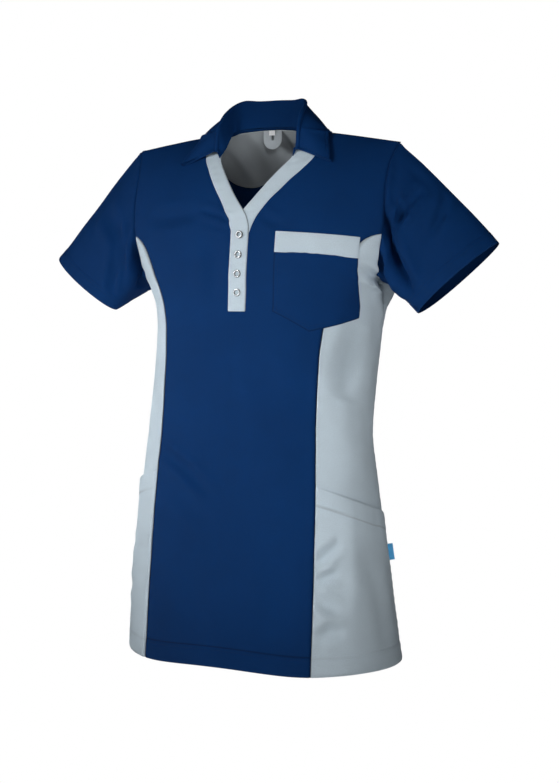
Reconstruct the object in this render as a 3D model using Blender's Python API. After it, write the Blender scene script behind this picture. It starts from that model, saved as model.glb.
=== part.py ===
"""Short-sleeved work tunic with a polo collar, filled out as it is worn, with open neck, hem and cuffs.

Metres, +Z up. +X is the wearer's left and the front faces -Y. The origin lies midway between the two
points where the shoulder seams meet the neck. Every panel lies on one torso surface, which is given by
an angle round the body (0 at centre front, 90 degrees at the wearer's left side) and a height.
"""

import math
from collections import namedtuple

import bmesh
import bpy
from mathutils import Vector

# Cloth
WALL = 0.0013
COLLAR_WALL = 0.0016
HALF_SEAM = 0.00018
LAY_GAP = 0.00035
EDGES_AND_MIDDLE = (0.0, 0.5, 1.0)

# Length, shoulders and neck
HEM_HEIGHT = -0.706
NECK_HALF_WIDTH = 0.058
BACK_NECK_RISE = 0.006
NAPE_RISE = 0.015
SHOULDER_HALF_WIDTH = 0.195
SHOULDER_SLOPE = 0.12
SHOULDER_CURVE = 0.25
SHOULDER_LEAN = 0.05
FRONT_ROUNDING_DEPTH = 0.21
BACK_ROUNDING_DEPTH = 0.17
ROUNDING_POWER = 2.2
ROUNDING_SHARPNESS = 0.8
RIDGE_SHARE = 0.06
HEM_RISE_STARTS = -0.45
HEM_SIDE_RISE = 0.0060
HEM_FRONT_RISE = 0.0080
HEM_FRONT_RISE_ENDS = math.radians(43)
HEM_TILT = 0.0025

Torso = namedtuple("Torso", "height half_width front front_square back back_square centre")
TORSO = [
    Torso(0.020, 0.218, 0.090, 2.90, 0.080, 2.80, 0.010),
    Torso(-0.045, 0.212, 0.094, 2.90, 0.086, 2.80, 0.011),
    Torso(-0.095, 0.207, 0.097, 2.90, 0.090, 2.80, 0.012),
    Torso(-0.139, 0.199, 0.098, 2.90, 0.0925, 2.80, 0.012),
    Torso(-0.163, 0.191, 0.098, 2.90, 0.093, 2.80, 0.012),
    Torso(-0.190, 0.180, 0.098, 2.90, 0.093, 2.80, 0.011),
    Torso(-0.210, 0.169, 0.097, 2.90, 0.092, 2.80, 0.010),
    Torso(-0.235, 0.160, 0.096, 2.80, 0.088, 2.80, 0.007),
    Torso(-0.270, 0.1565, 0.094, 2.70, 0.083, 2.75, 0.001),
    Torso(-0.310, 0.156, 0.089, 2.70, 0.079, 2.70, -0.007),
    Torso(-0.360, 0.157, 0.083, 2.70, 0.076, 2.65, -0.017),
    Torso(-0.400, 0.159, 0.079, 2.70, 0.075, 2.60, -0.0245),
    Torso(-0.450, 0.165, 0.083, 2.65, 0.080, 2.55, -0.027),
    Torso(-0.520, 0.173, 0.094, 2.55, 0.091, 2.45, -0.025),
    Torso(-0.600, 0.182, 0.109, 2.40, 0.106, 2.35, -0.021),
    Torso(HEM_HEIGHT, 0.192, 0.134, 2.10, 0.134, 2.20, -0.015),
]

# Neck bands and placket: distance of each edge from centre front, minus past it
Band = namedtuple("Band", "height inner outer_right outer_left")
BANDS = [
    Band(-0.003, 0.0578, 0.0860, 0.0940),
    Band(-0.018, 0.0575, 0.0830, 0.0915),
    Band(-0.036, 0.0540, 0.0775, 0.0860),
    Band(-0.053, 0.0420, 0.0665, 0.0735),
    Band(-0.068, 0.0300, 0.0560, 0.0585),
    Band(-0.080, 0.0205, 0.0468, 0.0480),
    Band(-0.092, 0.0110, 0.0370, 0.0372),
    Band(-0.104, 0.0010, 0.0285, 0.0285),
    Band(-0.115, -0.0070, 0.0215, 0.0215),
    Band(-0.130, -0.0120, 0.0155, 0.0155),
    Band(-0.145, -0.0130, 0.0132, 0.0132),
    Band(-0.165, -0.0130, 0.0130, 0.0130),
    Band(-0.190, -0.0130, 0.0130, 0.0130),
    Band(-0.215, -0.0130, 0.0130, 0.0130),
    Band(-0.239, -0.0130, 0.0130, 0.0130),
]
PLACKET_BOTTOM = BANDS[-1].height
UNDER_BAND_DROP = WALL + LAY_GAP
UNDER_BAND_STARTS = -0.050
UNDER_BAND_DOWN = -0.090
UNDER_BAND_END_LIFT = 0.002

# Armhole edge of the front and of the back: half width of the panel at a height
Edge = namedtuple("Edge", "height half_width")
ARMHOLE_FRONT = [
    Edge(-0.0285, 0.1925),
    Edge(-0.045, 0.1892),
    Edge(-0.062, 0.1876),
    Edge(-0.080, 0.1874),
    Edge(-0.100, 0.1877),
    Edge(-0.120, 0.1877),
    Edge(-0.139, 0.1850),
]
ARMHOLE_BACK = [
    Edge(-0.0285, 0.1925),
    Edge(-0.038, 0.1907),
    Edge(-0.048, 0.1894),
    Edge(-0.060, 0.1882),
    Edge(-0.073, 0.1875),
    Edge(-0.088, 0.1870),
    Edge(-0.105, 0.1863),
    Edge(-0.125, 0.1850),
    Edge(-0.147, 0.1820),
    Edge(-0.168, 0.1765),
]
ARMPIT_HEIGHT = -0.197
SIDE_SEAM_TOP = -0.186
SIDE_SEAM_ANGLE = math.radians(111)
ARMPIT_FRONT_POWER = 4.5
ARMPIT_BACK_POWER = 2.5

# Princess seam: half width of the front at a height
PRINCESS = [
    Edge(-0.139, 0.1850),
    Edge(-0.1415, 0.1765),
    Edge(-0.147, 0.1670),
    Edge(-0.158, 0.1570),
    Edge(-0.174, 0.1480),
    Edge(-0.192, 0.1395),
    Edge(-0.214, 0.1300),
    Edge(PLACKET_BOTTOM, 0.1225),
    Edge(-0.270, 0.1175),
    Edge(-0.305, 0.1150),
    Edge(-0.345, 0.1147),
    Edge(-0.385, 0.1154),
    Edge(-0.420, 0.1170),
    Edge(-0.455, 0.1189),
    Edge(-0.490, 0.1204),
    Edge(-0.525, 0.1214),
    Edge(-0.560, 0.1222),
    Edge(-0.600, 0.1230),
    Edge(-0.640, 0.1237),
    Edge(-0.675, 0.1241),
    Edge(HEM_HEIGHT, 0.1245),
]

# Columns of the body panels; the side panels' ones are closer together at the princess seam
FRONT_COLUMNS = 8
SIDE_COLUMNS = 10
SIDE_COLUMN_POWER = 1.6
SIDE_TOP_SETTLES = 6.0
BACK_NECK_COLUMNS = 4
BACK_SHOULDER_COLUMNS = 6
BACK_TOP_FADES = 0.10
BACK_TOP_ROUNDS = 6

# Sleeves: flat oval cuffs, the long way of the oval from its outer end to its underarm end
Cuff = namedtuple("Cuff", "name side outer_end underarm_end")
CUFFS = [
    Cuff("sleeve_left", 1, Vector((0.3315, -0.004, -0.1510)), Vector((0.2290, -0.022, -0.2410))),
    Cuff("sleeve_right", -1, Vector((0.3335, -0.004, -0.1680)), Vector((0.2290, -0.022, -0.2400))),
]
CUFF_HALF_THICKNESS = 0.025
SLEEVE_RINGS = 11
SLEEVE_PUFF = 0.014
SLEEVE_CUFF_PUFF_SHARE = 0.4
SLEEVE_SEAM_BLEND = 0.20

# Largest folds of a sleeve: soft troughs between two places, each given by its share of the way to the
# cuff and its turn in degrees from the top by the front
Fold = namedtuple("Fold", "start_share start_turn end_share end_turn half_width depth")
SLEEVE_FOLDS = {
    "sleeve_left": [
        Fold(0.16, 62, 0.30, 128, 0.012, 0.0045),
        Fold(0.52, 40, 0.60, 92, 0.011, 0.0030),
        Fold(0.20, 138, 0.55, 172, 0.011, 0.0050),
        Fold(0.24, 300, 0.50, 225, 0.014, 0.0040),
    ],
    "sleeve_right": [
        Fold(0.20, 60, 0.34, 118, 0.013, 0.0040),
        Fold(0.22, 140, 0.52, 170, 0.011, 0.0040),
        Fold(0.50, 320, 0.62, 250, 0.013, 0.0035),
    ],
}
SLEEVE_FOLD_RADIUS = 0.075

# Collar: where its neck seam, roll line and leaf edge pass, from centre back to the front end
ROLL_RADIUS = 0.0028
COLLAR_LIFT = 0.0007
COLLAR_STATIONS = 17
ROLL_STEPS = 4
STAND_SHARES = (0.0, 0.4, 0.8)
LEAF_SHARES = (0.3, 0.65, 1.0)
LEAF_CROWN = 0.0025

# Chest pocket on the wearer's left
CHEST_POCKET_INNER = 0.0525
CHEST_POCKET_OUTER_TOP = 0.1630
CHEST_POCKET_OUTER_LOW = 0.1520
CHEST_POCKET_TOP_INNER = -0.1350
CHEST_POCKET_TOP_OUTER = -0.1435
CHEST_BAND_HEIGHT = 0.0270
CHEST_POCKET_BODY_HEIGHT = 0.0770
CHEST_POCKET_POINT = 0.0225
CHEST_POCKET_POINT_SHARE = 0.34
CHEST_POCKET_COLUMNS = 11
CHEST_POCKET_GAP = 0.0010
CHEST_BAND_ROWS = 3
CHEST_POCKET_ROWS = 8

# Hip pockets on the side panels
HipPocket = namedtuple("HipPocket", "name side front_top side_top")
HIP_POCKETS = [
    HipPocket("hip_pocket_left", 1, -0.463, -0.508),
    HipPocket("hip_pocket_right", -1, -0.452, -0.490),
]
HIP_POCKET_GAP = 0.0007
HIP_POCKET_GAPE = 0.0045
HIP_POCKET_GAPE_DEPTH = 0.075
HIP_POCKET_GAPE_FULLNESS = 0.6
HIP_POCKET_ROWS = 9
HIP_POCKET_COLUMNS = 9

# Small pieces
SNAP_HEIGHTS = (-0.139, -0.165, -0.190, -0.2145)
SNAP_RING_RADIUS = 0.0040
SNAP_WIRE_RADIUS = 0.0012
SNAP_RING_SEGMENTS = 18
SNAP_WIRE_SEGMENTS = 8
FACING_HALF_WIDTH = 0.104
FACING_DEPTH = 0.0625
FACING_SQUARENESS = 7
FACING_TOP_DROP = 0.0012
FACING_SHOULDER_DROP = 0.0012
FACING_SHOULDER_STARTS = 0.040
FACING_ROWS = 8
FACING_COLUMNS = 14
FACING_EDGE = 0.004
FACING_WALL = 0.001
FACING_GAP = 0.0009
LOOP_RADIUS = 0.0078
LOOP_STRAIGHT = 0.0113
LOOP_RIBBON = 0.0118
LOOP_STRAIGHT_STEPS = 3
LOOP_TURN_STEPS = 10
LOOP_WALL = 0.0010
LOOP_TOP = 0.0012
LOOP_OFF = 0.0017
LABEL_WIDTH = 0.0085
LABEL_HEIGHT = 0.0065
SIDE_LABEL_TOP = -0.5480
SIDE_LABEL_HEIGHT = 0.0220
SIDE_LABEL_REACH = 0.0085
SIDE_LABEL_THICKNESS = 0.0010

NAVY = (0.012, 0.040, 0.125)
GREY = (0.50, 0.59, 0.66)
INNER_GREY = (0.30, 0.33, 0.35)
WHITE = (0.85, 0.86, 0.86)
BLUE = (0.03, 0.22, 0.75)
STEEL = (0.72, 0.74, 0.76)


def clear_scene():
    for item in list(bpy.data.objects):
        bpy.data.objects.remove(item, do_unlink=True)


def make_material(name, colour, roughness, metallic=0.0):
    material = bpy.data.materials.new(name)
    material.use_nodes = True
    shader = material.node_tree.nodes["Principled BSDF"]
    shader.inputs["Base Color"].default_value = (*colour, 1.0)
    shader.inputs["Roughness"].default_value = roughness
    shader.inputs["Metallic"].default_value = metallic
    material.diffuse_color = (*colour, 1.0)
    return material


def mix(low, high, share):
    return low + (high - low) * share


def ease(share):
    share = min(max(share, 0.0), 1.0)
    return share * share * (3.0 - 2.0 * share)


def read(table, height, column):
    """Reads a column at a height, on a smooth curve through the rows that never overshoots them."""
    heights = [row.height for row in table]
    values = [getattr(row, column) for row in table]
    if height >= heights[0]:
        return values[0]
    if height <= heights[-1]:
        return values[-1]
    i = next(k for k in range(len(heights) - 1) if heights[k + 1] <= height)

    def slope(k):
        if k <= 0 or k >= len(heights) - 1:
            return None
        before = (values[k] - values[k - 1]) / (heights[k] - heights[k - 1])
        after = (values[k + 1] - values[k]) / (heights[k + 1] - heights[k])
        return 0.0 if before * after <= 0.0 else 2.0 * before * after / (before + after)

    step = heights[i + 1] - heights[i]
    straight = (values[i + 1] - values[i]) / step
    first = straight if slope(i) is None else slope(i)
    last = straight if slope(i + 1) is None else slope(i + 1)
    s = (height - heights[i]) / step
    return (
        values[i] * (2 * s**3 - 3 * s**2 + 1)
        + first * step * (s**3 - 2 * s**2 + s)
        + values[i + 1] * (3 * s**2 - 2 * s**3)
        + last * step * (s**3 - s**2)
    )


def shoulder_height(x):
    """Height of the shoulder line, which rises into the nape between the neck points."""
    out = max(abs(x) - NECK_HALF_WIDTH, 0.0)
    nape = max(1.0 - (x / NECK_HALF_WIDTH) ** 2, 0.0)
    return NAPE_RISE * nape**2 - SHOULDER_SLOPE * out - SHOULDER_CURVE * out**2


def shoulder_depth(x):
    return -SHOULDER_LEAN * max(abs(x) - NECK_HALF_WIDTH, 0.0)


def rounding(angle, x, height):
    """How far the panel has come forward or back from the shoulder line, 0 to 1, and its share of the drop."""
    front = math.cos(angle) >= 0.0
    top = shoulder_height(x)
    low = -(FRONT_ROUNDING_DEPTH if front else BACK_ROUNDING_DEPTH)
    share = min(max((top - height) / (top - low), 0.0), 1.0)
    return (1.0 - (1.0 - share) ** ROUNDING_POWER) ** ROUNDING_SHARPNESS, share


def hem_rise(angle, height):
    """The hem's unevenness, which fades out up the body: higher in front, at the sides and to the right."""
    share = max((HEM_RISE_STARTS - height) / (HEM_RISE_STARTS - HEM_HEIGHT), 0.0)
    turn = (angle + math.pi) % (2.0 * math.pi) - math.pi
    rise = HEM_SIDE_RISE * math.sin(angle) ** 2 - HEM_TILT * math.sin(angle)
    if abs(turn) < HEM_FRONT_RISE_ENDS:
        rise += HEM_FRONT_RISE * math.cos(turn / HEM_FRONT_RISE_ENDS * math.pi / 2) ** 2
    return rise * share**2


def torso_point(angle, height):
    front = math.cos(angle) >= 0.0
    power = 2.0 / read(TORSO, height, "front_square" if front else "back_square")
    reach = read(TORSO, height, "front" if front else "back")
    sine, cosine = math.sin(angle), math.cos(angle)
    x = read(TORSO, height, "half_width") * math.copysign(abs(sine) ** power, sine)
    y = read(TORSO, height, "centre") - reach * math.copysign(abs(cosine) ** power, cosine)
    level = rounding(angle, x, height)[0]
    return Vector((x, mix(shoulder_depth(x), y, level), height + hem_rise(angle, height)))


def torso_normal(angle, height):
    """Outward normal; along the shoulder line front and back share one that points up."""
    turn, rise = math.radians(0.6), 0.0015
    across = torso_point(angle + turn, height) - torso_point(angle - turn, height)
    up = torso_point(angle, height + rise) - torso_point(angle, height - rise)
    normal = across.cross(up).normalized()
    point = torso_point(angle, height)
    near = 1.0 - rounding(angle, point.x, height)[1] / RIDGE_SHARE
    if near > 0.0:
        ridge = Vector((math.copysign(SHOULDER_SLOPE, point.x), 0.0, 1.0)).normalized()
        normal = normal.lerp(ridge, ease(near)).normalized()
    return normal


def lift(angle, height, distance):
    return torso_point(angle, height) + torso_normal(angle, height) * distance


def front_angle(x, height):
    power = read(TORSO, height, "front_square") / 2.0
    share = min(abs(x) / read(TORSO, height, "half_width"), 1.0)
    return math.copysign(math.asin(share**power), x)


def back_angle(x, height):
    share = min(abs(x) / read(TORSO, height, "half_width"), 1.0)
    power = read(TORSO, height, "back_square") / 2.0
    return math.copysign(math.pi - math.asin(share**power), x)


def make_wall(name, outer, inner, material, ring=False, present=None):
    """Closes the wall between two grids of points. A ring's columns join up; present drops cells."""
    mesh = bmesh.new()
    rows, columns = len(outer), len(outer[0])
    skins = [[[mesh.verts.new(p) for p in row] for row in grid] for grid in (outer, inner)]
    rims = {}
    for i in range(rows - 1):
        for j in range(columns if ring else columns - 1):
            if present and not present(i, j):
                continue
            right = (j + 1) % columns
            corners = [(i, j), (i, right), (i + 1, right), (i + 1, j)]
            mesh.faces.new([skins[0][r][c] for r, c in reversed(corners)])
            mesh.faces.new([skins[1][r][c] for r, c in corners])
            for k, start in enumerate(corners):
                end = corners[(k + 1) % 4]
                if (end, start) in rims:
                    del rims[(end, start)]
                else:
                    rims[(start, end)] = True
    for start, end in rims:
        loop = [skins[0][start[0]][start[1]], skins[0][end[0]][end[1]]]
        loop += [skins[1][end[0]][end[1]], skins[1][start[0]][start[1]]]
        mesh.faces.new(loop)
    loose = [v for v in mesh.verts if not v.link_faces]
    bmesh.ops.delete(mesh, geom=loose, context="VERTS")
    bmesh.ops.recalc_face_normals(mesh, faces=mesh.faces)
    return finish_mesh(name, mesh, material)


def finish_mesh(name, mesh, material):
    data = bpy.data.meshes.new(name)
    mesh.to_mesh(data)
    mesh.free()
    data.shade_smooth()
    data.set_sharp_from_angle(angle=math.radians(50))
    data.materials.append(material)
    piece = bpy.data.objects.new(name, data)
    bpy.data.collections["work_tunic"].objects.link(piece)
    return piece


def pull_in(grid, distance, ring=False):
    """Moves the border points of a grid towards the next ones, which opens half a seam."""
    moved = [[p.copy() for p in row] for row in grid]
    last_row, last_column = len(grid) - 1, len(grid[0]) - 1
    for i, row in enumerate(grid):
        for j, p in enumerate(row):
            targets = []
            if i in (0, last_row):
                targets.append(grid[1 if i == 0 else i - 1][j])
            if j in (0, last_column) and not ring:
                targets.append(row[1 if j == 0 else j - 1])
            for target in targets:
                moved[i][j] += (target - p).normalized() * distance
    return moved


def make_panel(name, places, material, top=None, wall=WALL, gap=HALF_SEAM, present=None):
    """A panel on the torso surface, from rows of (angle, height); top lifts its outer side."""
    raised = top or (lambda i, j: 0.0)
    outer, inner = [], []
    for i, row in enumerate(places):
        outer.append([lift(a, h, raised(i, j)) for j, (a, h) in enumerate(row)])
        inner.append([lift(a, h, raised(i, j) - wall) for j, (a, h) in enumerate(row)])
    return make_wall(name, pull_in(outer, gap), pull_in(inner, gap), material, present=present)


def mirrored(places):
    return [[(-a, h) for a, h in reversed(row)] for row in places]


def outer_column(side):
    return "outer_left" if side > 0 else "outer_right"


def band_place(side, height, edge):
    """A place on a band's edge: side -1 is the wearer's right."""
    return front_angle(side * read(BANDS, height, edge), height), height


def shoulder_place(x, front=True):
    height = shoulder_height(x)
    return (front_angle(x, height) if front else back_angle(x, height)), height


def front_outer_edge():
    """The wearer's left edge of the front, from the shoulder point by the armhole to the hem."""
    places = [shoulder_place(SHOULDER_HALF_WIDTH)]
    for row in ARMHOLE_FRONT + PRINCESS[1:]:
        places.append((front_angle(row.half_width, row.height), row.height))
    return places


def front_inner_edge(side):
    """The edge along the neck band and the placket, a place for each place of the outer edge."""
    column = outer_column(side)
    heights = [row.height for row in BANDS[1:]]
    heights += [row.height for row in PRINCESS if row.height < PLACKET_BOTTOM]
    neck_top = shoulder_place(side * getattr(BANDS[0], column))
    return [neck_top] + [band_place(side, height, column) for height in heights]


def make_front(navy):
    outer = front_outer_edge()
    places = [[] for _ in outer]
    for side in (-1, 1):
        for row, a, b in zip(places, front_inner_edge(side), outer):
            shares = [k / FRONT_COLUMNS for k in range(FRONT_COLUMNS + 1)]
            half = [(mix(a[0], side * b[0], k), mix(a[1], b[1], k)) for k in shares]
            row.extend(half[::side])
    slot_rows = len(BANDS) - 1

    def present(i, j):
        return j != FRONT_COLUMNS or i >= slot_rows

    make_panel("front_body", places, navy, present=present)


def side_top_height(angle, front_angle_top):
    """Height of the armhole edge round the side panel, which dips to the armpit."""
    quarter = math.pi / 2
    if angle < quarter:
        share = (quarter - angle) / (quarter - front_angle_top)
        return mix(ARMPIT_HEIGHT, ARMHOLE_FRONT[-1].height, share**ARMPIT_FRONT_POWER)
    share = (angle - quarter) / (SIDE_SEAM_ANGLE - quarter)
    return mix(ARMPIT_HEIGHT, SIDE_SEAM_TOP, share**ARMPIT_BACK_POWER)


def princess_angle(height):
    return front_angle(read(PRINCESS, height, "half_width"), height)


def side_place(share, height):
    return mix(princess_angle(height), SIDE_SEAM_ANGLE, share)


def side_top_edge():
    """The armhole edge of the side panel, from the princess seam back to the side seam."""
    start = princess_angle(PRINCESS[0].height)
    places = []
    for k in range(SIDE_COLUMNS + 1):
        angle = mix(start, SIDE_SEAM_ANGLE, (k / SIDE_COLUMNS) ** SIDE_COLUMN_POWER)
        places.append((angle, side_top_height(angle, start)))
    return places


def side_panel_places():
    """Columns run from the armhole to the hem; the first one keeps the princess seam's own heights."""
    top = side_top_edge()
    front_heights = [row.height for row in PRINCESS]
    places = []
    for level in front_heights:
        drop = (front_heights[0] - level) / (front_heights[0] - HEM_HEIGHT)
        row = []
        for k, (top_angle, top_height) in enumerate(top):
            height = mix(top_height, HEM_HEIGHT, drop)
            share = (k / SIDE_COLUMNS) ** SIDE_COLUMN_POWER
            settled = side_place(share, height)
            row.append((mix(top_angle, settled, ease(drop * SIDE_TOP_SETTLES)), height))
        row[0] = (princess_angle(level), level)
        places.append(row)
    return places


def side_seam_places():
    return [row[-1] for row in side_panel_places()]


def make_sides(grey):
    places = side_panel_places()
    make_panel("side_panel_left", places, grey)
    make_panel("side_panel_right", mirrored(places), grey)


def back_edge():
    """The wearer's left edge of the back, from the shoulder point by the armhole to the hem."""
    places = [shoulder_place(SHOULDER_HALF_WIDTH, front=False)]
    for row in ARMHOLE_BACK:
        places.append((back_angle(row.half_width, row.height), row.height))
    return places + side_seam_places()


def back_top_height(x):
    """Height of the back's top edge: the shoulder seams and, between them, the neck."""
    if abs(x) >= NECK_HALF_WIDTH:
        return shoulder_height(x)
    return BACK_NECK_RISE * (1.0 - (x / NECK_HALF_WIDTH) ** 2)


def back_shares():
    """Columns over half the back, as shares of the way from centre back to its edge."""
    edge_angle = shoulder_place(SHOULDER_HALF_WIDTH, front=False)[0]
    neck_angle = shoulder_place(NECK_HALF_WIDTH, front=False)[0]
    neck = (math.pi - neck_angle) / (math.pi - edge_angle)
    shares = [neck * k / BACK_NECK_COLUMNS for k in range(BACK_NECK_COLUMNS)]
    shares += [mix(neck, 1.0, k / BACK_SHOULDER_COLUMNS) for k in range(BACK_SHOULDER_COLUMNS + 1)]
    return shares


def back_places():
    shares = back_shares()
    edge = back_edge()
    places = []
    for edge_angle, edge_height in edge:
        half = []
        fade = 1.0 - ease((edge[0][1] - edge_height) / BACK_TOP_FADES)
        for share in shares:
            angle = math.pi - share * (math.pi - edge_angle)
            height = edge_height
            for _ in range(BACK_TOP_ROUNDS):
                x = torso_point(angle, height).x
                top = back_top_height(min(abs(x), SHOULDER_HALF_WIDTH))
                height = edge_height + (top - edge[0][1]) * fade
            half.append((angle, height))
        half[-1] = (edge_angle, edge_height)
        places.append(half[::-1] + [(2 * math.pi - a, h) for a, h in half[1:]])
    return places


def make_back(navy):
    make_panel("back_body", back_places(), navy)


def armhole_places():
    """The whole armhole of the wearer's left, from the shoulder by the front to the armpit and back."""
    front = [shoulder_place(SHOULDER_HALF_WIDTH)]
    front += [(front_angle(row.half_width, row.height), row.height) for row in ARMHOLE_FRONT[:-1]]
    back = [(back_angle(row.half_width, row.height), row.height) for row in reversed(ARMHOLE_BACK)]
    return front + side_top_edge() + back


def fold_depth(fold, share, turn, length):
    """Depth of a fold at a place of the sleeve, fading out at the armhole and towards its own ends."""
    start = Vector((fold.start_share * length, math.radians(fold.start_turn) * SLEEVE_FOLD_RADIUS))
    end = Vector((fold.end_share * length, math.radians(fold.end_turn) * SLEEVE_FOLD_RADIUS))
    place = Vector((share * length, math.radians(turn) * SLEEVE_FOLD_RADIUS))
    line = end - start
    along = min(max((place - start).dot(line) / line.length_squared, 0.0), 1.0)
    off = (place - start - line * along).length / fold.half_width
    return fold.depth * math.exp(-(off**2)) * ease(share / SLEEVE_SEAM_BLEND)


def sleeve_grid(cuff):
    """Rings of points from the armhole to the cuff, and the normals along the armhole."""
    places = armhole_places()
    seam = [torso_point(a, h) for a, h in places]
    seam_normals = [torso_normal(a, h) for a, h in places]
    lengths = [0.0]
    for k in range(1, len(seam)):
        lengths.append(lengths[-1] + (seam[k] - seam[k - 1]).length)
    total = lengths[-1] + (seam[0] - seam[-1]).length
    bottom = min(range(len(seam)), key=lambda k: seam[k].z)
    centre = (cuff.outer_end + cuff.underarm_end) / 2
    long_way = (cuff.outer_end - cuff.underarm_end) / 2
    short_way = Vector((0.0, -CUFF_HALF_THICKNESS, 0.0))
    rings = [[] for _ in range(SLEEVE_RINGS + 1)]
    folds = SLEEVE_FOLDS[cuff.name]
    for k, start in enumerate(seam):
        if k <= bottom:
            turn = math.pi * lengths[k] / lengths[bottom]
        else:
            turn = math.pi * (1.0 + (lengths[k] - lengths[bottom]) / (total - lengths[bottom]))
        end = centre + long_way * math.cos(turn) + short_way * math.sin(turn)
        way = end - start
        leave = way + (seam_normals[k] * SLEEVE_PUFF)
        arrive = way - seam_normals[k] * SLEEVE_PUFF * SLEEVE_CUFF_PUFF_SHARE
        for i, ring in enumerate(rings):
            s = i / SLEEVE_RINGS
            sunk = sum(fold_depth(fold, s, math.degrees(turn), way.length) for fold in folds)
            ring.append(
                start * (2 * s**3 - 3 * s**2 + 1)
                + leave * (s**3 - 2 * s**2 + s)
                + end * (3 * s**2 - 2 * s**3)
                + arrive * (s**3 - s**2)
                - seam_normals[k] * sunk
            )
    return rings, seam_normals


def grid_normals(grid, ring):
    """Normals of a grid of points: along the columns crossed with down the rows."""
    rows, columns = len(grid), len(grid[0])
    normals = []
    for i in range(rows):
        line = []
        for j in range(columns):
            left = grid[i][(j - 1) % columns] if ring else grid[i][max(j - 1, 0)]
            right = grid[i][(j + 1) % columns] if ring else grid[i][min(j + 1, columns - 1)]
            down = grid[min(i + 1, rows - 1)][j] - grid[max(i - 1, 0)][j]
            line.append((right - left).cross(down).normalized())
        normals.append(line)
    return normals


def make_sleeve(cuff, navy):
    """A sleeve whose wall starts square to the armhole's own cloth, so the seam stays open all through."""
    rings, seam_normals = sleeve_grid(cuff)
    own = grid_normals(rings, ring=True)
    inner = []
    for i, ring in enumerate(rings):
        blend = ease((i / SLEEVE_RINGS) / SLEEVE_SEAM_BLEND)
        line = []
        for k, p in enumerate(ring):
            normal = seam_normals[k].lerp(own[i][k], blend).normalized()
            line.append(p - normal * WALL)
        inner.append(line)
    flip = Vector((cuff.side, 1.0, 1.0))
    skins = []
    for grid in (rings, inner):
        open_seam = pull_in(grid, HALF_SEAM * 1.5, ring=True)
        skins.append([[p * flip for p in row] for row in open_seam])
    make_wall(cuff.name, skins[0], skins[1], navy, ring=True)


def smooth_path(points, count):
    """Points at even steps along a curve through the given ones."""
    result = []
    for k in range(count):
        place = k * (len(points) - 1) / (count - 1)
        i = min(int(place), len(points) - 2)
        s = place - i
        a = points[max(i - 1, 0)]
        b, c = points[i], points[i + 1]
        d = points[min(i + 2, len(points) - 1)]
        result.append(
            b * (1.5 * s**3 - 2.5 * s**2 + 1)
            + c * (-1.5 * s**3 + 2 * s**2 + 0.5 * s)
            + a * (-0.5 * s**3 + s**2 - 0.5 * s)
            + d * (0.5 * s**3 - 0.5 * s**2)
        )
    return result


def on_back(x, height, distance):
    return lift(back_angle(x, height), height, distance)


def on_front(x, height, distance):
    return lift(front_angle(x, height), height, distance)


def collar_paths():
    """Neck seam, roll line and leaf edge of the wearer's left half, from centre back forwards."""
    low, high = COLLAR_LIFT, COLLAR_LIFT + COLLAR_WALL
    neck = [on_back(x, back_top_height(x), low) for x in (0.0, 0.022, 0.042)]
    neck.append(Vector((NECK_HALF_WIDTH, 0.0, low)))
    neck += [on_front(read(BANDS, h, "inner"), h, low) for h in (-0.010, -0.023, -0.036)]
    roll = [
        Vector((0.0, 0.0290, 0.0440)),
        Vector((0.0260, 0.0255, 0.0435)),
        Vector((0.0455, 0.0165, 0.0445)),
        Vector((0.0548, 0.0015, 0.0380)),
        Vector((0.0580, -0.0190, 0.0240)),
        Vector((0.0585, -0.0330, 0.0020)),
        Vector((0.0575, -0.0350, -0.0270)),
    ]
    leaf = [
        on_back(0.0, -0.012, high),
        on_back(0.036, -0.011, high),
        on_back(0.070, -0.012, high),
        on_back(0.089, -0.012, high),
        Vector((0.0940, shoulder_depth(0.0940) - 0.004, shoulder_height(0.0940) + high)),
        on_front(0.1020, -0.026, high + 0.001),
        on_front(0.1090, -0.0470, high + 0.001),
    ]
    return [smooth_path(path, COLLAR_STATIONS) for path in (neck, roll, leaf)]


def clear_of_body(point, distance):
    """Moves a point out until it is clear of the torso surface."""
    x, height = point.x, min(point.z, shoulder_height(point.x) - 0.0004)
    angle = front_angle(x, height) if point.y < shoulder_depth(x) else back_angle(x, height)
    normal = torso_normal(angle, height)
    above = (point - torso_point(angle, height)).dot(normal)
    return point + normal * max(distance - above, 0.0)


def collar_section(neck, roll, leaf, along):
    """One section of the collar: up the stand, over the roll and down the leaf."""
    out = leaf - roll
    out = (out - along * out.dot(along)).normalized()
    up = along.cross(out).normalized()
    if up.dot(roll - neck) < 0:
        up = -up
    stand_top = roll - up * ROLL_RADIUS
    hub = stand_top + out * ROLL_RADIUS
    points = [neck.lerp(stand_top, share) for share in STAND_SHARES]
    for k in range(ROLL_STEPS + 1):
        turn = math.pi * k / ROLL_STEPS
        points.append(hub - out * ROLL_RADIUS * math.cos(turn) + up * ROLL_RADIUS * math.sin(turn))
    start = points[-1]
    for share in LEAF_SHARES:
        bulge = LEAF_CROWN * math.sin(math.pi * share)
        p = start.lerp(leaf, share) + (out + up).normalized() * bulge
        points.append(clear_of_body(p, COLLAR_LIFT + COLLAR_WALL))
    return points


def make_collar(navy):
    neck, roll, leaf = collar_paths()
    half = []
    for k in range(COLLAR_STATIONS):
        along = (roll[min(k + 1, COLLAR_STATIONS - 1)] - roll[max(k - 1, 0)]).normalized()
        if k == 0:
            along = Vector((1.0, 0.0, 0.0))
        half.append(collar_section(neck[k], roll[k], leaf[k], along))
    flip = Vector((-1.0, 1.0, 1.0))
    grid = [[p * flip for p in section] for section in reversed(half[1:])] + half
    normals = grid_normals(grid, ring=False)
    middle = len(grid) // 2
    if normals[middle][0].y > 0:
        normals = [[-n for n in row] for row in normals]
    inner = [
        [p - n * COLLAR_WALL for p, n in zip(row, line)] for row, line in zip(grid, normals)
    ]
    make_wall("collar", grid, inner, navy)


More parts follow.
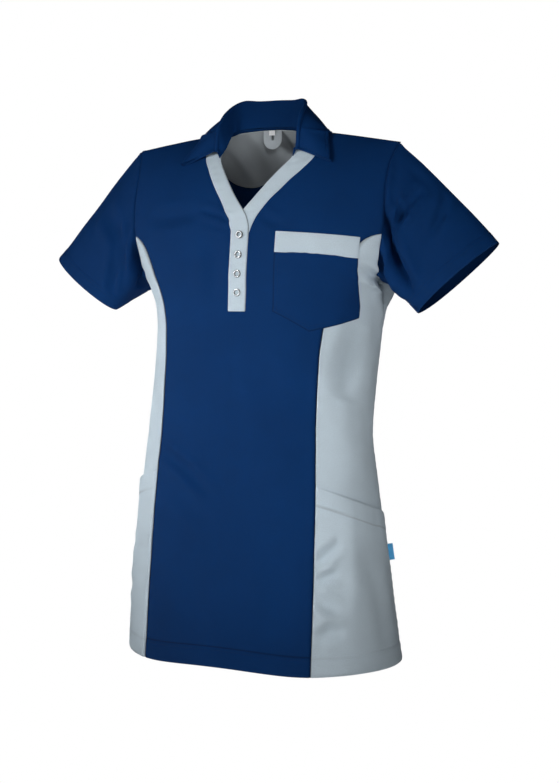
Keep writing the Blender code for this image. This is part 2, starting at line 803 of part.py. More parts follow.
def band_places(side, extra=0.0):
    """Rows down a band from the shoulder seam to the placket's foot, three places across."""
    rows = []
    column = outer_column(side)
    top_in, top_out = NECK_HALF_WIDTH, getattr(BANDS[0], column)
    rows.append([shoulder_place(side * mix(top_in, top_out, share)) for share in EDGES_AND_MIDDLE])
    for row in BANDS[1:]:
        height = row.height
        inner, outer = band_place(side, height, "inner"), band_place(side, height, column)
        rows.append([(mix(inner[0], outer[0], share), height) for share in EDGES_AND_MIDDLE])
    rows[-1] = [(a, h + extra) for a, h in rows[-1]]
    return rows


def make_bands(grey):
    gap = HALF_SEAM * 2
    make_panel("neck_band_top", band_places(-1), grey, gap=gap)
    places = band_places(1, UNDER_BAND_END_LIFT)
    heights = [row[0][1] for row in places]

    def sunk(i, _):
        span = UNDER_BAND_STARTS - UNDER_BAND_DOWN
        return -UNDER_BAND_DROP * ease((UNDER_BAND_STARTS - heights[i]) / span)

    make_panel("neck_band_under", places, grey, top=sunk, gap=gap)


def make_facing(inner_grey):
    """Half-moon inside the back neck, whose top edge keeps clear of the shoulder seams."""
    places = []
    for i in range(FACING_ROWS + 1):
        row = []
        for j in range(FACING_COLUMNS + 1):
            across = 2.0 * j / FACING_COLUMNS - 1.0
            x = FACING_HALF_WIDTH * across
            beside = (abs(x) - FACING_SHOULDER_STARTS) / (NECK_HALF_WIDTH - FACING_SHOULDER_STARTS)
            top = back_top_height(x) - FACING_TOP_DROP - FACING_SHOULDER_DROP * ease(beside)
            foot = top - FACING_DEPTH * (1.0 - abs(across) ** FACING_SQUARENESS) ** 0.5 - FACING_EDGE
            height = mix(top, foot, i / FACING_ROWS)
            row.append((back_angle(x, height) % (2 * math.pi), height))
        places.append(row[::-1])

    def sunk(i, j):
        return -WALL - FACING_GAP

    make_panel("back_neck_facing", places, inner_grey, top=sunk, wall=FACING_WALL)


def chest_place(across, height):
    inner = front_angle(CHEST_POCKET_INNER, height)
    low = CHEST_POCKET_TOP_OUTER - CHEST_BAND_HEIGHT - CHEST_POCKET_BODY_HEIGHT
    share = (CHEST_POCKET_TOP_OUTER - height) / (CHEST_POCKET_TOP_OUTER - low)
    outer_x = mix(CHEST_POCKET_OUTER_TOP, CHEST_POCKET_OUTER_LOW, min(max(share, 0.0), 1.0))
    return mix(inner, front_angle(outer_x, height), across), height


def chest_rows(first, last, rows, point):
    """Rows of the chest pocket between two distances below its top, the last one coming to a point."""
    places = []
    for i in range(rows + 1):
        row = []
        for j in range(CHEST_POCKET_COLUMNS + 1):
            across = j / CHEST_POCKET_COLUMNS
            top = mix(CHEST_POCKET_TOP_INNER, CHEST_POCKET_TOP_OUTER, across)
            peak = CHEST_POCKET_POINT_SHARE
            beside = across / peak if across < peak else (1.0 - across) / (1.0 - peak)
            foot = last + point * beside
            row.append(chest_place(across, top - mix(first, foot, i / rows)))
        places.append(row)
    return places


def make_chest_pocket(navy, grey):
    def raised(i, j):
        return WALL + CHEST_POCKET_GAP

    band = chest_rows(0.0, CHEST_BAND_HEIGHT, CHEST_BAND_ROWS, 0.0)
    make_panel("chest_pocket_band", band, grey, top=raised)
    low = CHEST_BAND_HEIGHT + CHEST_POCKET_BODY_HEIGHT
    body = chest_rows(CHEST_BAND_HEIGHT, low, CHEST_POCKET_ROWS, CHEST_POCKET_POINT)
    make_panel("chest_pocket_body", body, navy, top=raised)


def hip_places(pocket):
    """The hip pocket over the side panel: a slanted mouth at the top, sides in the two seams."""
    places = []
    for i in range(HIP_POCKET_ROWS + 1):
        row = []
        for j in range(HIP_POCKET_COLUMNS + 1):
            across = j / HIP_POCKET_COLUMNS
            top = mix(pocket.front_top, pocket.side_top, across)
            height = mix(top, HEM_HEIGHT, i / HIP_POCKET_ROWS)
            row.append((mix(princess_angle(height), SIDE_SEAM_ANGLE, across), height))
        places.append(row)
    return places


def make_hip_pocket(pocket, grey):
    places = hip_places(pocket)
    if pocket.side < 0:
        places = mirrored(places)

    def raised(i, j):
        depth = places[0][j][1] - places[i][j][1]
        gape = 1.0 - ease(depth / HIP_POCKET_GAPE_DEPTH)
        middle = max(math.sin(math.pi * j / HIP_POCKET_COLUMNS), 0.0) ** HIP_POCKET_GAPE_FULLNESS
        return WALL + HIP_POCKET_GAP + HIP_POCKET_GAPE * gape * middle

    make_panel(pocket.name, places, grey, top=raised)


def make_snaps(steel):
    for k, height in enumerate(SNAP_HEIGHTS, start=1):
        bpy.ops.mesh.primitive_torus_add(
            major_segments=SNAP_RING_SEGMENTS,
            minor_segments=SNAP_WIRE_SEGMENTS,
            major_radius=SNAP_RING_RADIUS,
            minor_radius=SNAP_WIRE_RADIUS,
        )
        ring = bpy.context.object
        ring.name = f"snap_{k}"
        ring.data.shade_smooth()
        ring.data.materials.append(steel)
        ring.location = lift(0.0, height, SNAP_WIRE_RADIUS + LAY_GAP)
        ring.rotation_euler = torso_normal(0.0, height).to_track_quat("Z", "Y").to_euler()
        for collection in list(ring.users_collection):
            collection.objects.unlink(ring)
        bpy.data.collections["work_tunic"].objects.link(ring)


def hung_inside(across, below, off):
    """A point that hangs straight down inside the back neck, off in from the facing at the seam."""
    seam = lift(math.pi, BACK_NECK_RISE - LOOP_TOP, -(WALL + FACING_GAP + FACING_WALL))
    return seam + Vector((across, -off, -below))


def make_loop(grey):
    """Hanger loop: a ribbon down from the neck seam, round and up again."""
    straight, turns = LOOP_STRAIGHT_STEPS, LOOP_TURN_STEPS
    path = [(-LOOP_RADIUS, LOOP_STRAIGHT * k / straight) for k in range(straight)]
    for k in range(turns + 1):
        turn = math.pi * k / turns
        path.append((-LOOP_RADIUS * math.cos(turn), LOOP_STRAIGHT + LOOP_RADIUS * math.sin(turn)))
    path += [(LOOP_RADIUS, LOOP_STRAIGHT * k / straight) for k in reversed(range(straight))]
    outer, inner = [], []
    for k, (x, below) in enumerate(path):
        before, after = path[max(k - 1, 0)], path[min(k + 1, len(path) - 1)]
        way = Vector((after[0] - before[0], after[1] - before[1])).normalized()
        side = Vector((way.y, -way.x)) * LOOP_RIBBON / 2
        edges = [(x - side.x, below - side.y), (x + side.x, below + side.y)]
        outer.append([hung_inside(u, v, LOOP_OFF) for u, v in edges])
        inner.append([hung_inside(u, v, LOOP_OFF + LOOP_WALL) for u, v in edges])
    make_wall("hanger_loop", outer, inner, grey)


def make_neck_label(white):
    off = LOOP_OFF + LOOP_WALL + LAY_GAP
    outer, inner = [], []
    for down in EDGES_AND_MIDDLE:
        line = [mix(-LABEL_WIDTH / 2, LABEL_WIDTH / 2, across) for across in EDGES_AND_MIDDLE]
        outer.append([hung_inside(x, down * LABEL_HEIGHT, off) for x in line])
        inner.append([hung_inside(x, down * LABEL_HEIGHT, off + LOOP_WALL) for x in line])
    make_wall("neck_label", outer, inner, white)


def make_side_label(blue):
    """A small tab caught in the wearer's left side seam, standing out from it."""
    normal = torso_normal(SIDE_SEAM_ANGLE, SIDE_LABEL_TOP)
    side = normal.cross(Vector((0.0, 0.0, 1.0))).normalized() * SIDE_LABEL_THICKNESS / 2
    outer, inner = [], []
    skin = WALL + LAY_GAP * 2
    for down in EDGES_AND_MIDDLE:
        height = SIDE_LABEL_TOP - down * SIDE_LABEL_HEIGHT
        root = lift(SIDE_SEAM_ANGLE, height, skin)
        tip = root + normal * SIDE_LABEL_REACH
        line = [root.lerp(tip, share) for share in EDGES_AND_MIDDLE]
        outer.append([p + side for p in line])
        inner.append([p - side for p in line])
    make_wall("side_label", outer, inner, blue)


def main():
    clear_scene()
    collection = bpy.data.collections.new("work_tunic")
    bpy.context.scene.collection.children.link(collection)
    navy = make_material("navy_cloth", NAVY, 0.85)
    grey = make_material("grey_cloth", GREY, 0.85)
    inner_grey = make_material("inner_grey_cloth", INNER_GREY, 0.90)
    white = make_material("white_label", WHITE, 0.80)
    blue = make_material("blue_label", BLUE, 0.60)
    steel = make_material("snap_steel", STEEL, 0.30, metallic=1.0)
    make_front(navy)
    make_sides(grey)
    make_back(navy)
    for cuff in CUFFS:
        make_sleeve(cuff, navy)
    make_collar(navy)
    make_bands(grey)
    make_facing(inner_grey)
    make_chest_pocket(navy, grey)
    for pocket in HIP_POCKETS:
        make_hip_pocket(pocket, grey)
    make_snaps(steel)
    make_loop(grey)
    make_neck_label(white)
    make_side_label(blue)


main()
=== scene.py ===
"""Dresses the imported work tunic: thin shells with creases, seams and hems, materials, light and camera.

The torso surface is the same as the solids': an angle round the body and a height give a point on it.
"""

import math
from collections import namedtuple

import bpy
import numpy as np
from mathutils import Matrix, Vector


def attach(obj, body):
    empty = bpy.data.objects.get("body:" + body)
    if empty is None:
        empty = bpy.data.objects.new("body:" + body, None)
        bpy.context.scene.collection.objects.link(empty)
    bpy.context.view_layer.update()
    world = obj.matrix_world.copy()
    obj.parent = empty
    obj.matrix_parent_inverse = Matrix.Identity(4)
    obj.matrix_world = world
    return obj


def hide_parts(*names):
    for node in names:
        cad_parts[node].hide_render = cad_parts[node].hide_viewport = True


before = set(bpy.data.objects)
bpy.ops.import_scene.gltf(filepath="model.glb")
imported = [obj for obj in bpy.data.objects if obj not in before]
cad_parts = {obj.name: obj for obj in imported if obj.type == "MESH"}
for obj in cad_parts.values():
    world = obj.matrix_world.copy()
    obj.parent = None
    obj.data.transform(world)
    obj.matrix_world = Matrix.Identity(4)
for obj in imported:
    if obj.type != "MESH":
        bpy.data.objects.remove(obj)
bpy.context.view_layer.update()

# Sizes of the cut, as in the solids
HEM_HEIGHT = -0.706
NECK_HALF_WIDTH = 0.058
BACK_NECK_RISE = 0.006
NAPE_RISE = 0.015
SHOULDER_HALF_WIDTH = 0.195
SHOULDER_SLOPE = 0.12
SHOULDER_CURVE = 0.25
SHOULDER_LEAN = 0.05
FRONT_ROUNDING_DEPTH = 0.21
BACK_ROUNDING_DEPTH = 0.17
ROUNDING_POWER = 2.2
ROUNDING_SHARPNESS = 0.8
RIDGE_SHARE = 0.06
HEM_RISE_STARTS = -0.45
HEM_SIDE_RISE = 0.0060
HEM_FRONT_RISE = 0.0080
HEM_FRONT_RISE_ENDS = math.radians(43)
HEM_TILT = 0.0025

Torso = namedtuple("Torso", "height half_width front front_square back back_square centre")
TORSO = [Torso(*row) for row in (
    (0.020, 0.218, 0.090, 2.90, 0.080, 2.80, 0.010),
    (-0.045, 0.212, 0.094, 2.90, 0.086, 2.80, 0.011),
    (-0.095, 0.207, 0.097, 2.90, 0.090, 2.80, 0.012),
    (-0.139, 0.199, 0.098, 2.90, 0.0925, 2.80, 0.012),
    (-0.163, 0.191, 0.098, 2.90, 0.093, 2.80, 0.012),
    (-0.190, 0.180, 0.098, 2.90, 0.093, 2.80, 0.011),
    (-0.210, 0.169, 0.097, 2.90, 0.092, 2.80, 0.010),
    (-0.235, 0.160, 0.096, 2.80, 0.088, 2.80, 0.007),
    (-0.270, 0.1565, 0.094, 2.70, 0.083, 2.75, 0.001),
    (-0.310, 0.156, 0.089, 2.70, 0.079, 2.70, -0.007),
    (-0.360, 0.157, 0.083, 2.70, 0.076, 2.65, -0.017),
    (-0.400, 0.159, 0.079, 2.70, 0.075, 2.60, -0.0245),
    (-0.450, 0.165, 0.083, 2.65, 0.080, 2.55, -0.027),
    (-0.520, 0.173, 0.094, 2.55, 0.091, 2.45, -0.025),
    (-0.600, 0.182, 0.109, 2.40, 0.106, 2.35, -0.021),
    (HEM_HEIGHT, 0.192, 0.134, 2.10, 0.134, 2.20, -0.015),
)]

Band = namedtuple("Band", "height inner outer_right outer_left")
BANDS = [Band(*row) for row in (
    (-0.003, 0.0578, 0.0860, 0.0940),
    (-0.018, 0.0575, 0.0830, 0.0915),
    (-0.036, 0.0540, 0.0775, 0.0860),
    (-0.053, 0.0420, 0.0665, 0.0735),
    (-0.068, 0.0300, 0.0560, 0.0585),
    (-0.080, 0.0205, 0.0468, 0.0480),
    (-0.092, 0.0110, 0.0370, 0.0372),
    (-0.104, 0.0010, 0.0285, 0.0285),
    (-0.115, -0.0070, 0.0215, 0.0215),
    (-0.130, -0.0120, 0.0155, 0.0155),
    (-0.145, -0.0130, 0.0132, 0.0132),
    (-0.165, -0.0130, 0.0130, 0.0130),
    (-0.190, -0.0130, 0.0130, 0.0130),
    (-0.215, -0.0130, 0.0130, 0.0130),
    (-0.239, -0.0130, 0.0130, 0.0130),
)]
PLACKET_BOTTOM = BANDS[-1].height

Edge = namedtuple("Edge", "height half_width")


def edges(*rows):
    return [Edge(*row) for row in rows]


ARMHOLE_FRONT = edges(
    (-0.0211, 0.1950), (-0.0285, 0.1925), (-0.045, 0.1892), (-0.062, 0.1876), (-0.080, 0.1874),
    (-0.100, 0.1877), (-0.120, 0.1877), (-0.139, 0.1850),
)
ARMHOLE_BACK = edges(
    (-0.0211, 0.1950), (-0.0285, 0.1925), (-0.038, 0.1907), (-0.048, 0.1894), (-0.060, 0.1882),
    (-0.073, 0.1875), (-0.088, 0.1870), (-0.105, 0.1863), (-0.125, 0.1850), (-0.147, 0.1820),
    (-0.168, 0.1765),
)
PRINCESS = edges(
    (-0.139, 0.1850), (-0.1415, 0.1765), (-0.147, 0.1670), (-0.158, 0.1570), (-0.174, 0.1480),
    (-0.192, 0.1395), (-0.214, 0.1300), (PLACKET_BOTTOM, 0.1225), (-0.270, 0.1175), (-0.305, 0.1150),
    (-0.345, 0.1147), (-0.385, 0.1154), (-0.420, 0.1170), (-0.455, 0.1189), (-0.490, 0.1204),
    (-0.525, 0.1214), (-0.560, 0.1222), (-0.600, 0.1230), (-0.640, 0.1237), (-0.675, 0.1241),
    (HEM_HEIGHT, 0.1245),
)
PRINCESS_TOP = PRINCESS[0].height
ARMPIT_HEIGHT = -0.197
SIDE_SEAM_TOP = -0.186
SIDE_SEAM_ANGLE = math.radians(111)
ARMPIT_FRONT_POWER = 4.5
ARMPIT_BACK_POWER = 2.5
SIDE_TOP_SETTLES = 6.0
BACK_TOP_FADES = 0.10
BACK_WAIST_ROW = 18.0
SIDE_WAIST = -0.45

Cuff = namedtuple("Cuff", "name side outer_end underarm_end")
CUFFS = [
    Cuff("sleeve_left", 1, Vector((0.3315, -0.004, -0.1510)), Vector((0.2290, -0.022, -0.2410))),
    Cuff("sleeve_right", -1, Vector((0.3335, -0.004, -0.1680)), Vector((0.2290, -0.022, -0.2400))),
]
CUFF_HALF_THICKNESS = 0.025
SLEEVE_PUFF = 0.014
SLEEVE_CUFF_PUFF_SHARE = 0.4

# Cloth
WALL = 0.0009
LAP = 0.0040
LAP_DEPTH = 0.00125
LAP_ROWS = 3
PRINCESS_DIP = 0.0019
CELL = 0.0036
HEM_TURN = 0.027
HEM_STITCHES = (0.0262, 0.0216)
RUBBED_WIDTH = 0.0012
STITCH_SHADE_WIDTH = 0.0009
DOUBLED_HEIGHT = 0.0004
DOUBLED_SLOPE = 0.0016
SHARP_FOLD = math.radians(55)
CLOSEST_ROWS = 0.00028


def mix(low, high, share):
    return low + (high - low) * share


def ease(share):
    share = np.clip(share, 0.0, 1.0)
    return share * share * (3.0 - 2.0 * share)


def bell(distance, width):
    """1 at no distance, and falling to nothing past the width."""
    return np.exp(-((distance / width) ** 2))


def hermite(start, leave, end, arrive, s):
    """A smooth curve from start to end, by shares s of the way, that leaves and arrives as told."""
    return (
        start * (2 * s**3 - 3 * s**2 + 1)
        + leave * (s**3 - 2 * s**2 + s)
        + end * (3 * s**2 - 2 * s**3)
        + arrive * (s**3 - s**2)
    )


def read(table, height, column):
    """Reads a column at each height, on a smooth curve through the rows that never overshoots them."""
    heights = np.array([row.height for row in table])[::-1]
    values = np.array([getattr(row, column) for row in table])[::-1]
    straight = np.diff(values) / np.diff(heights)
    slopes = np.zeros(len(values))
    slopes[0], slopes[-1] = straight[0], straight[-1]
    product = straight[:-1] * straight[1:]
    same = product > 0.0
    slopes[1:-1][same] = 2.0 * product[same] / (straight[:-1] + straight[1:])[same]
    at = np.clip(height, heights[0], heights[-1])
    i = np.clip(np.searchsorted(heights, at, side="right") - 1, 0, len(heights) - 2)
    step = heights[i + 1] - heights[i]
    s = (at - heights[i]) / step
    return hermite(values[i], slopes[i] * step, values[i + 1], slopes[i + 1] * step, s)


def shoulder_height(x):
    out = np.maximum(np.abs(x) - NECK_HALF_WIDTH, 0.0)
    nape = np.maximum(1.0 - (x / NECK_HALF_WIDTH) ** 2, 0.0)
    return NAPE_RISE * nape**2 - SHOULDER_SLOPE * out - SHOULDER_CURVE * out**2


def shoulder_depth(x):
    return -SHOULDER_LEAN * np.maximum(np.abs(x) - NECK_HALF_WIDTH, 0.0)


def back_top_height(x):
    neck = BACK_NECK_RISE * (1.0 - (x / NECK_HALF_WIDTH) ** 2)
    return np.where(np.abs(x) >= NECK_HALF_WIDTH, shoulder_height(x), neck)


def hem_rise(angle, height):
    share = np.maximum((HEM_RISE_STARTS - height) / (HEM_RISE_STARTS - HEM_HEIGHT), 0.0)
    turn = (angle + math.pi) % (2.0 * math.pi) - math.pi
    rise = HEM_SIDE_RISE * np.sin(angle) ** 2 - HEM_TILT * np.sin(angle)
    front = np.cos(np.clip(turn / HEM_FRONT_RISE_ENDS, -1.0, 1.0) * math.pi / 2) ** 2
    return (rise + HEM_FRONT_RISE * front) * share**2


def torso_share(angle, height):
    """Points on the torso surface, and how far down from the shoulder line they are, 0 to 1."""
    angle, height = np.broadcast_arrays(np.asarray(angle, float), np.asarray(height, float))
    sine, cosine = np.sin(angle), np.cos(angle)
    front = cosine >= 0.0
    square = np.where(front, read(TORSO, height, "front_square"), read(TORSO, height, "back_square"))
    reach = np.where(front, read(TORSO, height, "front"), read(TORSO, height, "back"))
    x = read(TORSO, height, "half_width") * np.sign(sine) * np.abs(sine) ** (2.0 / square)
    y = read(TORSO, height, "centre") - reach * np.sign(cosine) * np.abs(cosine) ** (2.0 / square)
    top = shoulder_height(x)
    low = -np.where(front, FRONT_ROUNDING_DEPTH, BACK_ROUNDING_DEPTH)
    share = np.clip((top - height) / (top - low), 0.0, 1.0)
    level = (1.0 - (1.0 - share) ** ROUNDING_POWER) ** ROUNDING_SHARPNESS
    points = np.stack([x, mix(shoulder_depth(x), y, level), height + hem_rise(angle, height)], -1)
    return points, share


def torso(angle, height):
    return torso_share(angle, height)[0]


def unit(vectors):
    return vectors / np.maximum(np.linalg.norm(vectors, axis=-1, keepdims=True), 1e-12)


def torso_normal(angle, height):
    turn, rise = math.radians(0.6), 0.0015
    across = torso(angle + turn, height) - torso(angle - turn, height)
    up = torso(angle, height + rise) - torso(angle, height - rise)
    normal = unit(np.cross(across, up))
    points, share = torso_share(angle, height)
    near = ease(1.0 - share / RIDGE_SHARE)[..., None]
    lean = np.sign(points[..., 0]) * SHOULDER_SLOPE
    ridge = unit(np.stack([lean, np.zeros_like(lean), np.ones_like(lean)], -1))
    return unit(mix(normal, ridge, near))


def front_angle(x, height):
    share = np.minimum(np.abs(x) / read(TORSO, height, "half_width"), 1.0)
    return np.sign(x) * np.arcsin(share ** (read(TORSO, height, "front_square") / 2.0))


def back_angle(x, height):
    """Angle at the back, from 90 to 270 degrees; minus x lies past 180."""
    share = np.minimum(np.abs(x) / read(TORSO, height, "half_width"), 1.0)
    turn = np.arcsin(share ** (read(TORSO, height, "back_square") / 2.0))
    return math.pi - np.sign(x) * turn


def lift(angle, height, distance):
    return torso(angle, height) + torso_normal(angle, height) * np.asarray(distance)[..., None]


# Creases
Crease = namedtuple("Crease", "path half_width depth ridge")
CREASE_END_POWER = 0.7
BANK_AT = 1.8
BANK_SPREAD = 0.6
WAVES = 7


def creases(place, *rows):
    """Creases whose paths are given in the terms of a function that returns points."""
    return [Crease([place(*at) for at in path], *sizes) for path, *sizes in rows]


def on_front(x, height):
    return torso(front_angle(np.float64(x), np.float64(height)), height)


def on_back(x, height):
    return torso(back_angle(np.float64(x), np.float64(height)), height)


def round_body(degrees, height):
    return torso(math.radians(degrees), height)


def reach_along(line):
    """How far each point of a line lies along it."""
    return np.concatenate([[0.0], np.cumsum(np.linalg.norm(np.diff(line, axis=0), axis=-1))])


def at_reach(line, reach, places):
    """Values of a line's rows, such as points, at places along it."""
    return np.stack([np.interp(places, reach, line[:, k]) for k in range(3)], -1)


def path_distance(points, path):
    """Distance of each point from a path of straight stretches, and how far along it the nearest place is."""
    path = [np.asarray(p, float) for p in path]
    lengths = [np.linalg.norm(b - a) for a, b in zip(path, path[1:])]
    best = np.full(points.shape[:-1], np.inf)
    along = np.zeros(points.shape[:-1])
    done = 0.0
    for a, b, length in zip(path, path[1:], lengths):
        t = np.clip(((points - a) @ (b - a)) / length**2, 0.0, 1.0)
        away = np.linalg.norm(points - a - t[..., None] * (b - a), axis=-1)
        nearer = away < best
        best = np.where(nearer, away, best)
        along = np.where(nearer, (done + t * length) / sum(lengths), along)
        done += length
    return best, along


def crease_depth(points, creases):
    """Soft troughs with a low ridge on both sides, deepest at their middle."""
    total = np.zeros(points.shape[:-1])
    for crease in creases:
        away, along = path_distance(points, crease.path)
        strength = np.sin(math.pi * np.clip(along, 0.0, 1.0)) ** CREASE_END_POWER
        bank = np.exp(-((away / crease.half_width - BANK_AT) ** 2) / BANK_SPREAD)
        total += crease.depth * strength * (-bell(away, crease.half_width) + crease.ridge * bank)
    return total


def ripple(points, seed, size, height):
    """Gentle unevenness of cloth: a few waves of about one size that run different ways."""
    rng = np.random.default_rng(seed)
    total = np.zeros(points.shape[:-1])
    for _ in range(WAVES):
        way = unit(rng.normal(size=3))
        length = size * rng.uniform(0.7, 1.6)
        total += np.sin(points @ way * 2 * math.pi / length + rng.uniform(0, 2 * math.pi))
    return total * height / math.sqrt(WAVES)


BODY_CREASES = [
    *creases(
        round_body,
        # below the wearer's left arm
        ([(54, -0.181), (61, -0.187), (72, -0.194), (90, -0.206), (98, -0.217)], 0.0056, 0.0084, 0.8),
        ([(56, -0.166), (66, -0.180), (75, -0.190)], 0.0075, 0.0026, 0.4),
        ([(82, -0.200), (93, -0.218), (103, -0.242)], 0.0080, 0.0084, 0.6),
        ([(77, -0.258), (69, -0.304), (61, -0.352)], 0.0200, 0.0100, 0.35),
        ([(85, -0.250), (81, -0.300), (75, -0.350)], 0.0120, -0.0026, 0.0),
        ([(66, -0.385), (80, -0.400), (100, -0.392)], 0.0110, 0.0014, 0.4),
        # over the wearer's left hip
        ([(40, -0.562), (46, -0.547), (56, -0.534)], 0.0064, 0.0048, 0.7),
        ([(40, -0.586), (46, -0.578), (54, -0.574)], 0.0064, 0.0042, 0.7),
        ([(39, -0.602), (45, -0.613), (53, -0.623)], 0.0070, 0.0046, 0.6),
        ([(41, -0.660), (47, -0.648), (56, -0.652)], 0.0085, 0.0048, 0.6),
        ([(64, -0.500), (63, -0.574), (61, -0.645)], 0.0130, -0.0042, 0.0),
        ([(78, -0.552), (83, -0.620), (85, -0.685)], 0.0140, 0.0026, 0.3),
    ),
    *creases(
        on_front,
        # beside the placket and over the bust
        ([(-0.068, -0.103), (-0.036, -0.113), (-0.014, -0.122)], 0.0042, 0.0026, 0.9),
        ([(-0.060, -0.123), (-0.033, -0.128), (-0.010, -0.136)], 0.0040, 0.0013, 0.9),
        ([(0.026, -0.110), (0.040, -0.120), (0.060, -0.127)], 0.0060, 0.0018, 0.9),
        ([(-0.155, -0.118), (-0.105, -0.113), (-0.064, -0.109)], 0.0100, 0.0034, 0.4),
        ([(-0.041, -0.146), (-0.036, -0.185), (-0.039, -0.228)], 0.0120, 0.0030, 0.3),
        ([(-0.128, -0.215), (-0.080, -0.205), (-0.050, -0.222)], 0.0200, 0.0010, 0.3),
    ),
    *creases(
        round_body,
        # the front's waist and skirt
        ([(-38, -0.424), (-18, -0.447), (-5, -0.478)], 0.0075, 0.0036, 0.8),
        ([(-34, -0.470), (-16, -0.490), (-4, -0.520)], 0.0110, 0.0014, 0.5),
    ),
    *creases(
        on_front,
        ([(0.030, -0.420), (0.075, -0.405), (0.114, -0.415)], 0.0190, 0.0018, 0.4),
        ([(0.020, -0.300), (0.050, -0.330), (0.062, -0.370)], 0.0170, 0.0014, 0.4),
        ([(-0.050, -0.560), (-0.040, -0.620), (-0.046, -0.680)], 0.0200, 0.0016, 0.4),
        ([(0.070, -0.540), (0.082, -0.610), (0.078, -0.680)], 0.0180, 0.0018, 0.4),
    ),
    *creases(
        round_body,
        # below the wearer's right arm and over that hip
        ([(-70, -0.196), (-84, -0.214), (-98, -0.240)], 0.0080, 0.0020, 0.6),
        ([(-58, -0.182), (-74, -0.192), (-92, -0.208)], 0.0055, 0.0016, 0.8),
        ([(-72, -0.392), (-88, -0.404), (-104, -0.398)], 0.0120, 0.0018, 0.4),
        ([(-42, -0.597), (-58, -0.610), (-78, -0.632)], 0.0075, 0.0014, 0.6),
        ([(-41, -0.558), (-56, -0.560), (-72, -0.552)], 0.0070, 0.0010, 0.6),
        ([(-60, -0.500), (-62, -0.560), (-60, -0.640)], 0.0140, -0.0020, 0.0),
    ),
    *creases(
        on_back,
        # across the waist, from the armholes down, and down the skirt
        ([(0.110, -0.395), (0.060, -0.412), (0.005, -0.405)], 0.0130, 0.0051, 0.6),
        ([(-0.120, -0.380), (-0.070, -0.398), (-0.020, -0.392)], 0.0120, 0.0048, 0.6),
        ([(0.030, -0.430), (-0.030, -0.440), (-0.090, -0.428)], 0.0140, 0.0042, 0.5),
        ([(0.080, -0.452), (0.030, -0.462), (-0.020, -0.470)], 0.0120, 0.0030, 0.5),
        ([(0.158, -0.120), (0.122, -0.165), (0.104, -0.225)], 0.0120, 0.0054, 0.5),
        ([(-0.158, -0.115), (-0.126, -0.160), (-0.110, -0.215)], 0.0120, 0.0051, 0.5),
        ([(0.150, -0.180), (0.110, -0.235), (0.085, -0.290)], 0.0140, 0.0036, 0.4),
        ([(-0.150, -0.178), (-0.115, -0.230), (-0.092, -0.285)], 0.0140, 0.0033, 0.4),
        ([(0.095, -0.520), (0.100, -0.600), (0.092, -0.690)], 0.0180, 0.0051, 0.4),
        ([(-0.085, -0.530), (-0.096, -0.610), (-0.090, -0.690)], 0.0180, 0.0048, 0.4),
        ([(0.010, -0.560), (0.000, -0.630), (0.006, -0.695)], 0.0200, 0.0042, 0.4),
    ),
]


def body_relief(points):
    """Creases, and the gentle unevenness that all pieces on the torso share."""
    waves = ripple(points, 3, size=0.110, height=0.00045), ripple(points, 8, size=0.038, height=0.00012)
    return crease_depth(points, BODY_CREASES) + waves[0] + waves[1]


# Shells
def stations(length, cell, near=(), far=()):
    """Shares of the way along a length: even steps, and closer ones at the given distances from its ends."""
    even = np.linspace(0.0, length, max(round(length / cell), 2) + 1)
    kept = [0.0]
    for place in sorted([*even, *near, *(length - d for d in far)])[1:]:
        if place - kept[-1] > CLOSEST_ROWS and length - place > CLOSEST_ROWS:
            kept.append(place)
    return np.array(kept + [length]) / length


SEAM_MARKS = (0.0005, 0.0010, 0.0016, 0.0024, 0.0034)
HEM_MARKS = (0.0006, 0.0014, 0.0205, 0.0212, 0.0219, 0.0226, 0.0255, 0.0262, 0.0269, 0.0277, 0.0285)


def spans(points, axis):
    """Distance along the grid from its first row or column."""
    steps = np.linalg.norm(np.diff(points, axis=axis), axis=-1)
    zero = np.zeros_like(np.take(steps, [0], axis))
    return np.cumsum(np.concatenate([zero, steps], axis), axis)


def borders(points):
    """Distances of each grid point from the first column, last column, first row and last row."""
    across, down = spans(points, 1), spans(points, 0)
    return across, across[:, -1:] - across, down, down[-1:] - down


def dip(distance, depth, width=0.0013):
    return -depth * bell(distance, width)


def groove(distance, at, depth=0.00035, width=0.0008):
    return -depth * bell(distance - at, width)


def swell(distance, at=0.0045, height=0.0004, width=0.0028):
    return height * bell(distance - at, width)


def stitch_shade(distance, at):
    """Painted shade along a stitched line, darkening the cloth's colour where its groove is shaded."""
    return bell(distance - at, STITCH_SHADE_WIDTH)


def turned_up(distance, turn, stitches):
    """Relief of a hem from its edge: the doubled cloth, and the grooves of the two stitched lines."""
    doubled = DOUBLED_HEIGHT * ease((turn - distance) / DOUBLED_SLOPE)
    return doubled + groove(distance, stitches[0], depth=0.0003) + groove(distance, stitches[1], depth=0.0002)


def pucker(distance, along, seed, height=0.00035, reach=0.010, size=0.012):
    """Short ripples square to a seam, of uneven length."""
    rng = np.random.default_rng(seed)
    total = np.zeros_like(distance)
    for _ in range(4):
        length = size * rng.uniform(0.7, 1.7)
        total += np.sin(along * 2 * math.pi / length + rng.uniform(0, 6.3))
    return total / 2 * height * np.exp(-(distance / reach)) * (1.0 - np.exp(-distance / 0.002))


def extend(points, normals, offset, side, length=LAP, depth=LAP_DEPTH):
    """Adds the seam allowance beyond the first or last column, or the first or last row."""
    axis = 1 if side in ("left", "right") else 0
    first = side in ("left", "top")
    ends = (0, 1) if first else (-1, -2)
    edge, inside = (np.take(points, k, axis) for k in ends)
    way = unit(edge - inside)
    marks = [length, length * 0.45, length * 0.12]
    if not first:
        marks = marks[::-1]
    grown = np.stack([edge + way * m for m in marks], axis)
    sides = np.stack([np.take(normals, ends[0], axis)] * 3, axis)
    sunk = np.full(grown.shape[:-1], -depth)
    parts = [(grown, points), (sides, normals), (sunk, offset)]
    return [np.concatenate(pair if first else pair[::-1], axis) for pair in parts]


def set_attribute(mesh, name, values):
    mesh.attributes.new(name, "FLOAT", "POINT").data.foreach_set("value", values)


